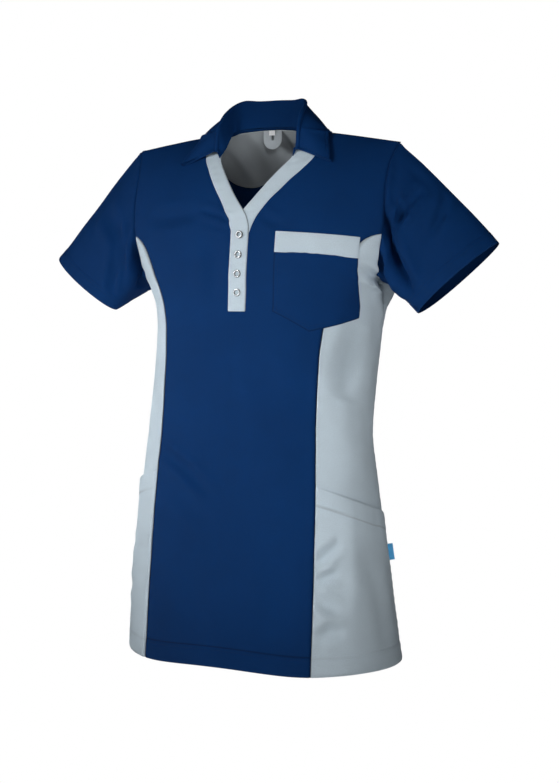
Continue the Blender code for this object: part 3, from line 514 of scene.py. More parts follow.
def add_piece(mesh, material, nodes=()):
    """Puts a mesh in the scene on the part's one body, and hides the CAD nodes it stands for."""
    mesh.materials.append(material)
    mesh.update()
    piece = bpy.data.objects.new(mesh.name, mesh)
    bpy.context.scene.collection.objects.link(piece)
    if nodes:
        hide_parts(*nodes)
    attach(piece, "root")


def shell(node, points, normals, offset, material, wall=WALL, ring=False, keep=None, seam=None, kind="cloth"):
    """A closed thin wall over a grid of points, moved out by offset, that stands for a CAD node."""
    rows, columns = points.shape[:2]
    count = rows * columns
    wall = np.broadcast_to(wall, (rows, columns))
    outer = points + normals * offset[..., None]
    inner = outer - normals * wall[..., None]
    index = np.arange(count).reshape(rows, columns)
    near = index if ring else index[:, :-1]
    far = np.roll(index, -1, 1) if ring else index[:, 1:]
    quads = np.stack([near[:-1], far[:-1], far[1:], near[1:]], -1)
    if keep is not None:
        quads = quads[keep]
    quads = quads.reshape(-1, 4)
    flat = outer.reshape(-1, 3)
    sample = quads[len(quads) // 2]
    a, b, c = flat[sample[:3]]
    if np.dot(np.cross(b - a, c - a), normals.reshape(-1, 3)[sample[0]]) < 0:
        quads = quads[:, ::-1]
    starts, ends = quads.reshape(-1), np.roll(quads, -1, 1).reshape(-1)
    lone = ~np.isin(starts * count + ends, ends * count + starts)
    rim = np.stack([ends[lone], starts[lone], starts[lone] + count, ends[lone] + count], -1)
    faces = np.concatenate([quads, quads[:, ::-1] + count, rim])
    places = np.concatenate([flat, inner.reshape(-1, 3)])
    across, down = spans(points, 1), spans(points, 0)
    middle = across[:, columns // 2 : columns // 2 + 1]
    maps = np.stack([across - middle, -down], -1).reshape(-1, 2)
    maps = np.concatenate([maps, maps])
    used, faces = np.unique(faces, return_inverse=True)
    faces = faces.reshape(-1, 4)
    mesh = bpy.data.meshes.new(f"{node}_{kind}")
    mesh.from_pydata(places[used].tolist(), [], faces.tolist())
    layer = mesh.uv_layers.new(name="cloth")
    layer.data.foreach_set("uv", maps[used][faces.reshape(-1)].astype(np.float32).reshape(-1))
    mesh.polygons.foreach_set("use_smooth", np.ones(len(faces), bool))
    mesh.set_sharp_from_angle(angle=SHARP_FOLD)
    rims = borders(outer)[2:] if ring else borders(outer)
    marks = {"edge": bell(np.min(rims, axis=0), RUBBED_WIDTH)}
    # Painted shade along seams and stitched lines rides on the mesh as an attribute that darkens the cloth's
    # colour.
    if seam is not None:
        marks["seam"] = seam
    for mark, values in marks.items():
        set_attribute(mesh, mark, np.tile(values.reshape(-1), 2)[used])
    add_piece(mesh, material, [node])


def grid_normals(points, ring=False):
    if ring:
        across = np.roll(points, -1, 1) - np.roll(points, 1, 1)
    else:
        across = np.gradient(points, axis=1)
    return unit(np.cross(across, np.gradient(points, axis=0)))


# Materials
def add_node(tree, kind, **values):
    """A node with its properties set by name and its sockets by number, such as s0=1.0."""
    made = tree.nodes.new(kind)
    for key, value in values.items():
        if key[0] == "s" and key[1:].isdigit():
            socket = made.inputs[int(key[1:])]
            if isinstance(value, bpy.types.NodeSocket):
                tree.links.new(value, socket)
            else:
                socket.default_value = value
        else:
            setattr(made, key, value)
    return made


def new_material(name, colour, roughness, metallic=0.0):
    material = bpy.data.materials.new(name)
    material.use_nodes = True
    shader = material.node_tree.nodes["Principled BSDF"]
    shader.inputs["Base Color"].default_value = (*colour, 1.0)
    shader.inputs["Roughness"].default_value = roughness
    shader.inputs["Metallic"].default_value = metallic
    return material, material.node_tree, shader


def noise(tree, place, scale, detail):
    return add_node(tree, "ShaderNodeTexNoise", s0=place, s2=scale, s3=detail).outputs["Fac"]


def moved(tree, value, low, high, new_low, new_high):
    """Values between low and high, moved to a new range."""
    return add_node(tree, "ShaderNodeMapRange", s0=value, s1=low, s2=high, s3=new_low, s4=new_high).outputs[0]


def multiplied(tree, first, second):
    return add_node(tree, "ShaderNodeMath", operation="MULTIPLY", s0=first, s1=second).outputs[0]


def multiplied_and_added(tree, first, second, more):
    return add_node(tree, "ShaderNodeMath", operation="MULTIPLY_ADD", s0=first, s1=second, s2=more).outputs[0]


def scaled(tree, colour, share):
    return add_node(tree, "ShaderNodeVectorMath", operation="SCALE", s0=colour, s3=share).outputs[0]


def mixed(tree, share, colour, other):
    kind = dict(data_type="RGBA", s0=share, s6=(*colour, 1.0), s7=(*other, 1.0))
    return add_node(tree, "ShaderNodeMix", **kind).outputs[2]


def mark(tree, name):
    """Strength of a mark that the mesh carries: edge wear, painted seam shade or painted shade on a ring's
    sides.
    """
    return add_node(tree, "ShaderNodeAttribute", attribute_name=name).outputs["Fac"]


def bumped(tree, strength, depth, height):
    return add_node(tree, "ShaderNodeBump", s0=strength, s1=depth, s3=height)


def on_piece(tree):
    return add_node(tree, "ShaderNodeTexCoord").outputs["Object"]


def cloth(name, colour, worn, slot, pitch=0.0008):
    """Twill: slanted ribs, uneven threads, soft mottling, painted shade along seams and paler rubbed edges.
    """
    material, tree, shader = new_material(name, colour, 0.82)
    shader.inputs["Specular IOR Level"].default_value = 0.08
    grain = add_node(tree, "ShaderNodeUVMap", uv_map="cloth").outputs[0]
    body = on_piece(tree)
    slant = dict(wave_type="BANDS", bands_direction="DIAGONAL", s1=2 * math.pi / (10 * math.sqrt(2) * pitch))
    ribs = add_node(tree, "ShaderNodeTexWave", s0=grain, s2=0.6, s3=1.0, s4=0.4, **slant).outputs["Fac"]
    threads = noise(tree, grain, 1 / (pitch * 1.6), 2.0)
    shade = moved(tree, noise(tree, body, 14.0, 3.0), 0.3, 0.7, 0.93, 1.06)
    for part in (
        moved(tree, noise(tree, body, 3.2, 1.0), 0.35, 0.65, 0.96, 1.04),
        moved(tree, ribs, 0.0, 1.0, 0.93, 1.05),
        moved(tree, threads, 0.3, 0.7, 0.93, 1.07),
        # Darkens the colour along marked seams and stitched lines: painted shade.
        multiplied_and_added(tree, mark(tree, "seam"), -0.85, 1.0),
    ):
        shade = multiplied(tree, shade, part)
    wear = multiplied(tree, mark(tree, "edge"), multiplied(tree, threads, 0.35))
    tree.links.new(scaled(tree, mixed(tree, wear, colour, worn), shade), shader.inputs["Base Color"])
    rumpled = bumped(tree, 0.35, 0.0009, noise(tree, body, 70.0, 3.0))
    fine = bumped(tree, 0.5, 0.00010, multiplied_and_added(tree, threads, 0.7, ribs))
    tree.links.new(rumpled.outputs[0], fine.inputs["Normal"])
    tree.links.new(fine.outputs[0], shader.inputs["Normal"])
    material["slot"] = slot
    return material


def thread(name, colour):
    """Sewing thread, its twist a fine unevenness of tone."""
    material, tree, shader = new_material(name, colour, 0.55)
    shader.inputs["Specular IOR Level"].default_value = 0.12
    twist = moved(tree, noise(tree, on_piece(tree), 2400.0, 1.0), 0.3, 0.7, 0.85, 1.10)
    tree.links.new(scaled(tree, colour, twist), shader.inputs["Base Color"])
    return material


def polished_steel(name, colour, shaded_rim_colour):
    """Bright steel, smeared and finely scratched; its colour goes near black where the mesh is marked, as
    painted shade on the ring's sides.
    """
    material, tree, shader = new_material(name, colour, 0.24, metallic=1.0)
    body = on_piece(tree)
    smeared = moved(tree, noise(tree, body, 420.0, 3.0), 0.3, 0.7, 0.18, 0.36)
    scratched = bumped(tree, 0.12, 0.00005, noise(tree, body, 2600.0, 2.0)).outputs[0]
    tree.links.new(smeared, shader.inputs["Roughness"])
    tree.links.new(scratched, shader.inputs["Normal"])
    tree.links.new(mixed(tree, mark(tree, "painted_rim_shade"), colour, shaded_rim_colour), shader.inputs["Base Color"])
    return material


navy = cloth("navy_twill", (0.0018, 0.0305, 0.1260), (0.010, 0.048, 0.150), "navy_cloth")
grey = cloth("grey_twill", (0.555, 0.655, 0.730), (0.66, 0.73, 0.78), "grey_cloth")
# The facing's grey is a darker copy of the grey cloth: painted shade for the inside of the neck.
inner_grey = cloth("shade_darkened_inner_grey_twill", (0.400, 0.440, 0.470), (0.40, 0.44, 0.46), "inner_grey_cloth")
# The loop's grey is a darker copy of the grey cloth: painted shade for its place inside the neck.
shade_darkened_loop_grey = cloth("loop_grey_twill", (0.390, 0.430, 0.460), (0.42, 0.46, 0.48), "grey_cloth", pitch=0.0006)
white_tape = cloth("white_tape", (0.80, 0.82, 0.83), (0.9, 0.9, 0.9), "white_label", pitch=0.0006)
blue_tape = cloth("blue_tape", (0.120, 0.480, 0.860), (0.20, 0.50, 0.80), "blue_label", pitch=0.0006)
navy_thread = thread("navy_thread", (0.0012, 0.0140, 0.0560))
grey_thread = thread("grey_thread", (0.50, 0.58, 0.65))
# The second colour is near black: painted shade on the rings' sides.
steel = polished_steel("ring_steel", (0.46, 0.48, 0.50), (0.035, 0.037, 0.040))


# Panels on the torso surface
def even_places(guides, last, near=(), far=(), cell=CELL, samples=1600):
    """Places from 0 to last at even steps of the guides' mean length, closer near the ends."""
    fine = np.linspace(0.0, last, samples)
    reach = sum(reach_along(guide(fine)) / len(guides) for guide in guides)
    return np.interp(stations(reach[-1], cell, near, far) * reach[-1], reach, fine)


FRONT_EDGE = ARMHOLE_FRONT + PRINCESS[1:]
FRONT_TOP_ROWS = 3.0
FRONT_HALF_WIDTH = 0.106
UNDER_BAND_MARKS = (0.0016, 0.0028, 0.0040, 0.0052, 0.0066)
BRIDGE_COLUMNS = 6
PRINCESS_LAP = 0.0026


def band_column(side):
    return "outer_left" if side > 0 else "outer_right"


def front_half(t, u, side):
    """x and height on one half of the front, by row: u runs from under the band, 0, to the outer edge, 1."""
    column = band_column(side)
    inner = [float(shoulder_height(getattr(BANDS[0], column)))] + [row.height for row in BANDS[1:]]
    inner += [row.height for row in PRINCESS if row.height < PLACKET_BOTTOM]
    marks = np.arange(len(inner))
    outer_h = np.interp(t, marks, [row.height for row in FRONT_EDGE])
    inner_h = np.interp(t, marks, inner)
    outer_x = read(FRONT_EDGE, outer_h, "half_width")
    inner_x = read(BANDS, inner_h, column)
    x = mix(inner_x - LAP, outer_x, u)
    share = np.clip((x - inner_x) / (outer_x - inner_x), 0.0, 1.0)
    fade = np.clip(1.0 - t / FRONT_TOP_ROWS, 0.0, 1.0) ** 2
    row_top = mix(shoulder_height(inner_x), float(shoulder_height(SHOULDER_HALF_WIDTH)), share)
    return side * x, mix(inner_h, outer_h, share) + (shoulder_height(x) - row_top) * fade


def band_gap(x, height):
    """Distance outside the bands' outer edge, minus under them."""
    outer = np.where(x > 0, read(BANDS, height, "outer_left"), read(BANDS, height, "outer_right"))
    beside, below = np.abs(x) - outer, PLACKET_BOTTOM - height
    outside = np.hypot(np.maximum(beside, 0.0), np.maximum(below, 0.0))
    return np.where((beside < 0) & (below < 0), np.maximum(beside, below), outside)


UNDER_BAND_DROP = 0.00165
UNDER_BAND_STARTS, UNDER_BAND_DOWN = -0.050, -0.090
UNDER_BAND_COVERED, UNDER_BAND_HIDDEN = -0.128, -0.142


def under_band_drop(height):
    """How far the band on the wearer's left sinks, to pass under the other one."""
    return UNDER_BAND_DROP * ease((UNDER_BAND_STARTS - height) / (UNDER_BAND_STARTS - UNDER_BAND_DOWN))


def panel(angle, height):
    """Points and normals on the torso surface."""
    return torso(angle, height), torso_normal(angle, height)


def with_hem(offset, points, bottom, seed):
    """Adds the body's hem to a panel's relief: the turn-up, the rounded edge and its ripples."""
    ripples = pucker(bottom, spans(points, 1), seed, height=0.00030, reach=0.022, size=0.016)
    return offset + turned_up(bottom, HEM_TURN, HEM_STITCHES) + (dip(bottom, 0.0005, 0.0010) + ripples)


def sew_hem(kind, surface, start=0.0, end=1.0):
    for distance in HEM_STITCHES:
        sew(kind, surface, "bottom", distance, start, end)


def make_front():
    guides = [lambda t, u=u, s=s: on_front(*front_half(t, u, s)) for u in (0.1, 0.6, 1.0) for s in (-1, 1)]
    t = even_places(guides, len(FRONT_EDGE) - 1, SEAM_MARKS, HEM_MARKS)[:, None]
    u = stations(FRONT_HALF_WIDTH, CELL, UNDER_BAND_MARKS, SEAM_MARKS)[None, :]
    bridge = np.linspace(0.0, 1.0, BRIDGE_COLUMNS + 2)[None, 1:-1]
    right, left = front_half(t, u[:, ::-1], -1), front_half(t, u, 1)
    x, height = (
        np.concatenate([here, mix(here[:, -1:], there[:, :1], bridge), there], 1)
        for here, there in zip(right, left)
    )
    points, normals = panel(front_angle(x, height), height)
    start, end, _, bottom = borders(points)
    along = spans(points, 0)
    gap = band_gap(x, height)
    offset = body_relief(points)
    princess = ease((PRINCESS_TOP - 0.002 - height) / 0.010)
    for edge in (start, end):
        offset += mix(dip(edge, 0.0006), dip(edge, PRINCESS_DIP, 0.0021), princess) + swell(edge)
    # Painted shade: darker colour along the princess seams, where the lapped edge is shaded, and along the
    # hem's stitched line.
    seam = bell(np.minimum(start, end), 0.0017) * mix(0.35, 0.9, princess)
    seam = np.maximum(seam, 0.5 * stitch_shade(bottom, HEM_STITCHES[0]))
    offset += pucker(start, along, 11, height=0.00022) + pucker(end, along, 12, height=0.00022)
    offset = with_hem(offset, points, bottom, 13)
    offset *= ease(gap / 0.006)
    beside_under = (x > 0) * ease((height - UNDER_BAND_HIDDEN) / (UNDER_BAND_COVERED - UNDER_BAND_HIDDEN))
    offset -= (LAP_DEPTH + beside_under * under_band_drop(height)) * ease((0.0008 - gap) / 0.0020)
    sew_hem("navy", (points, normals, offset))
    points, normals, offset = extend(points, normals, offset, "top")
    rows, columns = points.shape[:2]
    half = u.shape[1]
    keep = np.ones((rows - 1, columns - 1), bool)
    centre_h = np.concatenate([np.full(LAP_ROWS, 0.0), left[1][:, 0]])
    keep[centre_h[:-1] > PLACKET_BOTTOM + LAP, half - 1 : columns - half] = False
    below_arm = np.concatenate([np.zeros(LAP_ROWS), height[:-1, 0]]) < PRINCESS_TOP - 0.004
    beside = np.repeat(below_arm[:, None], LAP_ROWS, 1)
    keep = np.concatenate([beside, keep, beside], 1)
    for edge in ("left", "right"):
        points, normals, offset = extend(points, normals, offset, edge, PRINCESS_LAP, PRINCESS_DIP + 0.0003)
    seam = np.pad(seam, ((LAP_ROWS, 0), (LAP_ROWS, LAP_ROWS)), mode="edge")
    shell("front_body", points, normals, offset, navy, keep=keep, seam=seam)


def princess_angle(height):
    return front_angle(read(PRINCESS, height, "half_width"), height)


SIDE_START = float(princess_angle(PRINCESS_TOP))


def side_top_height(angle):
    quarter = math.pi / 2
    before = np.clip((quarter - angle) / (quarter - SIDE_START), 0.0, 1.0)
    after = np.clip((angle - quarter) / (SIDE_SEAM_ANGLE - quarter), 0.0, 1.0)
    front = mix(ARMPIT_HEIGHT, PRINCESS_TOP, before**ARMPIT_FRONT_POWER)
    back = mix(ARMPIT_HEIGHT, SIDE_SEAM_TOP, after**ARMPIT_BACK_POWER)
    return np.where(angle < quarter, front, back)


def side_places(level, share):
    """Angle and height on the side panel, from its seam level at the front and the share towards the back."""
    top_angle = mix(SIDE_START, SIDE_SEAM_ANGLE, share)
    drop = (PRINCESS_TOP - level) / (PRINCESS_TOP - HEM_HEIGHT)
    height = mix(side_top_height(top_angle), HEM_HEIGHT, drop)
    settled = mix(princess_angle(height), SIDE_SEAM_ANGLE, share)
    angle = mix(top_angle, settled, ease(drop * SIDE_TOP_SETTLES))
    first = np.clip(1.0 - share / 0.03, 0.0, 1.0)
    return mix(angle, princess_angle(level), first), mix(height, level, first)


def make_side(side):
    guides = [lambda drop, k=k: torso(*side_places(PRINCESS_TOP - drop, k)) for k in (0.02, 0.5, 1.0)]
    level = PRINCESS_TOP - even_places(guides, PRINCESS_TOP - HEM_HEIGHT, SEAM_MARKS, HEM_MARKS)[:, None]
    waist = [lambda share: torso(*side_places(np.full(share.shape, SIDE_WAIST), share))]
    share = even_places(waist, 1.0, SEAM_MARKS, SEAM_MARKS, samples=400)[None, :]
    angle, height = side_places(level, share)
    if side < 0:
        angle, height = -angle[:, ::-1], height[:, ::-1]
    points, normals = panel(angle, height)
    start, end, top, bottom = borders(points)
    along = spans(points, 0)
    offset = body_relief(points) + dip(top, 0.0005) + swell(start) + swell(end)
    offset += pucker(start, along, 21 + side, height=0.0004) + pucker(end, along, 24 + side, height=0.0003)
    offset = with_hem(offset, points, bottom, 27 + side)
    seam, back_seam = (start, end) if side > 0 else (end, start)
    offset += dip(seam, 0.0005, 0.0009) - LAP_DEPTH * (1.0 - ease(back_seam / 0.0022))
    points, normals, offset = extend(points, normals, offset, "right" if side > 0 else "left")
    name = "side_panel_left" if side > 0 else "side_panel_right"
    # Painted shade: a dark line along the front seam, where the navy edge shades the grey.
    shade = np.pad(0.6 * bell(seam, 0.0006), ((0, 0), (0, LAP_ROWS) if side > 0 else (LAP_ROWS, 0)))
    shell(name, points, normals, offset, grey, seam=shade)


def back_edge(t):
    """Angle and height of the back's edge, on the wearer's left, by row: the armhole, then the side seam."""
    count = len(ARMHOLE_BACK)
    arm_h = np.interp(t, np.arange(count), [row.height for row in ARMHOLE_BACK])
    arm_angle = back_angle(read(ARMHOLE_BACK, arm_h, "half_width"), arm_h)
    level = np.interp(t, count + np.arange(len(PRINCESS)), [row.height for row in PRINCESS])
    seam_angle, seam_h = side_places(level, 1.0)
    first = np.clip(t - count + 1, 0.0, 1.0)
    return mix(arm_angle, seam_angle, first), mix(arm_h, seam_h, first)


def back_places(t, share):
    """Angle and height on the back, by row; share is 0 at centre back and 1 at the edge."""
    edge_angle, edge_h = back_edge(t)
    top_h = ARMHOLE_BACK[0].height
    angle = math.pi - share * (math.pi - edge_angle)
    fade = 1.0 - ease((top_h - edge_h) / BACK_TOP_FADES)
    height = edge_h + 0.0 * angle
    for _ in range(8):
        x = torso(angle, height)[..., 0]
        top = back_top_height(np.minimum(np.abs(x), SHOULDER_HALF_WIDTH))
        height = edge_h + (top - top_h) * fade
    return angle, mix(height, edge_h, np.clip((share - 0.97) / 0.03, 0, 1))


def make_back():
    guides = [lambda t, k=k: torso(*back_places(t, k)) for k in (0.0, 0.5, 0.98)]
    rows = len(ARMHOLE_BACK) + len(PRINCESS) - 1
    t = even_places(guides, rows, SEAM_MARKS, HEM_MARKS)[:, None]
    waist = [lambda share: torso(*back_places(np.full(share.shape, BACK_WAIST_ROW), share))]
    share = even_places(waist, 1.0, (), SEAM_MARKS, samples=400)[None, :]
    angle, height = back_places(t, share)
    angle = np.concatenate([angle[:, ::-1], 2 * math.pi - angle[:, 1:]], 1)
    height = np.concatenate([height[:, ::-1], height[:, 1:]], 1)
    points, normals = panel(angle, height)
    start, end, top, bottom = borders(points)
    along = spans(points, 0)
    offset = body_relief(points) + dip(start, 0.0006) + dip(end, 0.0006) + dip(top, 0.0005)
    offset += swell(start) + swell(end) + swell(top)
    offset += pucker(start, along, 31, height=0.00022) + pucker(end, along, 32, height=0.00022)
    offset = with_hem(offset, points, bottom, 33)
    offset *= ease((top + 0.001) / 0.004)
    sew_hem("navy", (points, normals, offset))
    shell("back_body", points, normals, offset, navy)


# Stitches
SEWN = {"navy": [], "grey": []}


def inset(points, normals, offset, edge, distance):
    """The line on a panel at a distance in from one of its borders."""
    surface = points + normals * offset[..., None]
    if edge in ("top", "bottom"):
        points, surface, normals = (np.swapaxes(a, 0, 1) for a in (points, surface, normals))
    if edge in ("right", "bottom"):
        points, surface, normals = (a[:, ::-1] for a in (points, surface, normals))
    reach = spans(points, 1)
    before = np.clip((reach < distance).sum(1) - 1, 0, reach.shape[1] - 2)
    row = np.arange(len(reach))
    share = (distance - reach[row, before]) / (reach[row, before + 1] - reach[row, before])
    share = share[:, None]
    place = mix(surface[row, before], surface[row, before + 1], share)
    return place, unit(mix(normals[row, before], normals[row, before + 1], share))


def sew(kind, surface, edge, distance, start=0.0, end=1.0, outside=1):
    """Keeps a line of sewing along an edge, from one share of its length to another."""
    place, normal = inset(*surface, edge, distance)
    part = slice(round(start * (len(place) - 1)), round(end * (len(place) - 1)) + 1)
    SEWN[kind].append((place[part], outside * normal[part]))


# Rings of a stitch: place along it, thickness and height, as shares of its length and the thread's radius
STITCH_RINGS = (
    (-0.5, 0.45, -0.9), (-0.34, 1.0, -0.1), (0.0, 1.05, 0.35), (0.34, 1.0, -0.1), (0.5, 0.45, -0.9),
)
STITCH_PITCH = 0.0031
STITCH_LENGTH = 0.0025
THREAD_RADIUS = 0.00016


def make_stitching(name, lines, material):
    """Small bowed stitches laid end to end along the lines, their ends drawn into the cloth."""
    verts, faces = [], []
    for place, normal in lines:
        reach = reach_along(place)
        count = max(int(reach[-1] / STITCH_PITCH), 1)
        for k in range(count):
            middle = (k + 0.5) * reach[-1] / count
            rings = []
            for along, thick, high in STITCH_RINGS:
                at = np.clip(middle + along * STITCH_LENGTH, 0.0, reach[-1])
                out = unit(at_reach(normal, reach, at))
                rings.append((at_reach(place, reach, at) + out * THREAD_RADIUS * high, out, thick))
            way = unit(rings[-1][0] - rings[0][0])
            base = len(verts)
            for centre, out, thick in rings:
                side = unit(np.cross(way, out))
                for u, v in ((1, 0), (0, 1), (-1, 0), (0, -1)):
                    verts.append(tuple(centre + (side * u + out * v) * THREAD_RADIUS * thick))
            last = base + 4 * (len(rings) - 1)
            for ring in range(base, last, 4):
                for c in range(4):
                    a, b = ring + c, ring + (c + 1) % 4
                    faces.append((a, b, b + 4, a + 4))
            faces.append((base + 3, base + 2, base + 1, base))
            faces.append((last, last + 1, last + 2, last + 3))
    mesh = bpy.data.meshes.new(name)
    mesh.from_pydata(verts, [], faces)
    mesh.shade_smooth()
    add_piece(mesh, material)


# Sleeves
Fold = namedtuple("Fold", "start_share start_turn end_share end_turn half_width depth")
SLEEVE_SEAM_BLEND = 0.20
SLEEVE_FOLD_RADIUS = 0.075
SLEEVE_FOLDS = {
    "sleeve_left": [
        Fold(0.16, 62, 0.30, 128, 0.012, 0.0045),
        Fold(0.52, 40, 0.60, 92, 0.011, 0.0030),
        Fold(0.20, 138, 0.55, 172, 0.011, 0.0050),
        Fold(0.24, 300, 0.50, 225, 0.014, 0.0040),
    ],
    "sleeve_right": [
        Fold(0.20, 60, 0.34, 118, 0.013, 0.0040),
        Fold(0.22, 140, 0.52, 170, 0.011, 0.0040),
        Fold(0.50, 320, 0.62, 250, 0.013, 0.0035),
    ],
}
# Places on a sleeve: share of the way to the cuff, and degrees from the top by the front
SLEEVE_CREASES = {
    "sleeve_left": [
        ([(0.33, 24), (0.27, 44), (0.23, 64), (0.18, 84), (0.11, 98)], 0.0048, 0.0052, 0.9),
        ([(0.51, 8), (0.55, 38), (0.57, 68)], 0.0046, 0.0036, 0.9),
        ([(-0.10, 72), (0.07, 98), (0.22, 112), (0.37, 122), (0.76, 137)], 0.0125, 0.0135, 0.40),
        ([(-0.04, 80), (0.07, 98), (0.22, 112), (0.37, 122), (0.66, 134)], 0.0058, 0.0056, 1.0),
        ([(-0.10, 108), (0.05, 132), (0.17, 149), (0.34, 164)], 0.0105, 0.0100, 0.2),
        ([(-0.04, 12), (0.03, 40), (0.03, 74)], 0.0055, -0.0014, 0.3),
        ([(0.10, 18), (0.09, 44), (0.11, 66)], 0.0060, 0.0022, 0.2),
        ([(0.30, 160), (0.62, 166)], 0.0080, 0.0030, 0.6),
        ([(0.62, 96), (0.74, 118), (0.86, 132)], 0.0090, 0.0014, 0.6),
        ([(0.20, 20), (0.34, 12)], 0.0080, 0.0012, 0.6),
        ([(0.08, 262), (0.28, 246), (0.52, 232)], 0.0085, 0.0050, 0.7),
        ([(0.10, 300), (0.26, 282), (0.44, 276)], 0.0075, 0.0030, 0.8),
        ([(0.55, 318), (0.60, 292), (0.62, 270)], 0.0065, 0.0018, 0.8),
        ([(0.06, 226), (0.24, 214), (0.44, 202)], 0.0080, 0.0040, 0.6),
    ],
    "sleeve_right": [
        ([(0.40, 30), (0.33, 58), (0.28, 84), (0.33, 104)], 0.0085, 0.0040, 0.7),
        ([(0.06, 80), (0.22, 104), (0.40, 128)], 0.0090, 0.0040, 0.6),
        ([(0.32, 98), (0.46, 112), (0.74, 136)], 0.0085, 0.0046, 0.6),
        ([(-0.08, 100), (0.03, 124), (0.13, 148), (0.34, 166)], 0.0150, 0.0150, 0.25),
        ([(0.52, 20), (0.56, 52)], 0.0060, 0.0012, 0.8),
        ([(0.08, 268), (0.26, 250), (0.48, 238)], 0.0085, 0.0048, 0.7),
        ([(0.12, 304), (0.30, 290), (0.46, 268)], 0.0075, 0.0028, 0.8),
        ([(0.60, 312), (0.66, 286)], 0.0065, 0.0014, 0.8),
        ([(0.06, 224), (0.24, 210), (0.42, 200)], 0.0080, 0.0040, 0.6),
    ],
}
SLEEVE_HEM = 0.020
SLEEVE_GROOVES = (0.0192, 0.0145)
SLEEVE_STITCHES = (0.0190, 0.0145)
SLEEVE_HEM_MARKS = (0.0006, 0.0014, 0.0140, 0.0147, 0.0154, 0.0188, 0.0196, 0.0204, 0.0212)


def fold_depth(fold, share, turn, length):
    """Depth of a fold at places of the sleeve, fading out at the armhole and towards its own ends."""
    start = (fold.start_share * length, math.radians(fold.start_turn) * SLEEVE_FOLD_RADIUS)
    end = (fold.end_share * length, math.radians(fold.end_turn) * SLEEVE_FOLD_RADIUS)
    place = (share * length, turn * SLEEVE_FOLD_RADIUS)
    line = (end[0] - start[0], end[1] - start[1])
    from_start = (place[0] - start[0], place[1] - start[1])
    along = (from_start[0] * line[0] + from_start[1] * line[1]) / (line[0] ** 2 + line[1] ** 2)
    along = np.clip(along, 0.0, 1.0)
    off = np.hypot(from_start[0] - line[0] * along, from_start[1] - line[1] * along) / fold.half_width
    return fold.depth * bell(off, 1.0) * ease(share / SLEEVE_SEAM_BLEND)


def armhole_line():
    """Angles and heights round the wearer's left armhole, from the shoulder by the front and back up."""
    down = np.linspace(ARMHOLE_FRONT[0].height, ARMHOLE_FRONT[-1].height, 200)[:-1]
    under = np.linspace(SIDE_START, SIDE_SEAM_ANGLE, 300)
    up = np.linspace(ARMHOLE_BACK[-1].height, ARMHOLE_BACK[0].height, 220)
    angle = [front_angle(read(ARMHOLE_FRONT, down, "half_width"), down), under]
    angle.append(back_angle(read(ARMHOLE_BACK, up, "half_width"), up))
    return np.concatenate(angle), np.concatenate([down, side_top_height(under), up])


def make_sleeve(cuff):
    angle, height = armhole_line()
    line, out = (np.concatenate([rows, rows[:1]]) for rows in panel(angle, height))
    reach = reach_along(line)
    count = round(reach[-1] / CELL)
    at = np.arange(count) * reach[-1] / count
    seam, seam_normal = at_reach(line, reach, at), unit(at_reach(out, reach, at))
    lowest = at[np.argmin(seam[:, 2])]
    turn = np.where(at <= lowest, math.pi * at / lowest, math.pi * (1 + (at - lowest) / (reach[-1] - lowest)))
    outer, under = np.array(cuff.outer_end), np.array(cuff.underarm_end)
    end = (outer + under) / 2 + np.cos(turn)[:, None] * (outer - under) / 2
    end = end + np.sin(turn)[:, None] * np.array([0.0, -CUFF_HALF_THICKNESS, 0.0])
    way = end - seam
    leave = way + seam_normal * SLEEVE_PUFF
    arrive = way - seam_normal * SLEEVE_PUFF * SLEEVE_CUFF_PUFF_SHARE
    length = np.linalg.norm(way, axis=-1)[None, :]
    mean = float(length.mean())
    s = stations(mean, CELL, SEAM_MARKS, SLEEVE_HEM_MARKS)[:, None]
    sunk = sum(fold_depth(fold, s, turn[None, :], length) for fold in SLEEVE_FOLDS[cuff.name])
    points = hermite(seam, leave, end, arrive, s[..., None]) - seam_normal * sunk[..., None]
    normals = grid_normals(points, ring=True)
    blend = ease(s[..., None] / 0.05)
    normals = unit(mix(np.broadcast_to(seam_normal, normals.shape), normals, blend))
    across, _, top, bottom = borders(points)
    offset = ripple(points, 5 + cuff.side, size=0.085, height=0.0006) * ease(s / 0.1)
    flat = np.stack([s * mean + 0.0 * length, turn[None, :] * SLEEVE_FOLD_RADIUS + 0.0 * s], -1)

    def on_sleeve(share, degrees):
        return share * mean, math.radians(degrees) * SLEEVE_FOLD_RADIUS

    for crease in creases(on_sleeve, *SLEEVE_CREASES[cuff.name]):
        offset += crease_depth(flat, [crease])
    ripples = pucker(top, across, 41 + cuff.side, height=0.0005, reach=0.010, size=0.014)
    offset += swell(top, at=0.0040, height=0.0007, width=0.0026) + ripples
    offset -= LAP_DEPTH * (1.0 - ease(top / 0.0020))
    offset += turned_up(bottom, SLEEVE_HEM, SLEEVE_GROOVES)
    ripples = pucker(bottom, across, 44 + cuff.side, height=0.0004, reach=0.018, size=0.016)
    offset += dip(bottom, 0.0005, 0.0010) + ripples
    if cuff.side < 0:
        points, normals = points * [-1, 1, 1], normals * [-1, 1, 1]
    for distance in SLEEVE_STITCHES:
        sew("navy", (points, normals, offset), "bottom", distance)
    points, normals, offset = extend(points, normals, offset, "top")
    shell(cuff.name, points, normals, offset, navy, ring=True)


# Collar
COLLAR_WALL = 0.0013
COLLAR_LIFT = 0.0010
ROLL_RADIUS = 0.0028
LEAF_CROWN = 0.0025
STAND_LEANS_IN = 0.0074
NECK_BAND_LIFT = 0.0004
STAND_SHARES = np.linspace(0.0, 1.0, 13)[:-1]
LEAF_TIP_ROLL = 0.0045
LEAF_TIP_FROM, LEAF_TIP_OVER = 0.72, 0.22
STAND_LEANS_FROM, STAND_LEANS_OVER = 0.28, 0.24
STAND_UPRIGHT_FROM, STAND_UPRIGHT_OVER = 0.80, 0.20
LEAF_STARTS = 0.045
LEAF_COLUMN = 22
LEAF_MARKS = (0.0005, 0.0012, 0.0040, 0.0047, 0.0054, 0.0061, 0.0068)
COLLAR_CELL = 0.0028
COLLAR_STATIONS = 120
COLLAR_STITCH = 0.0054


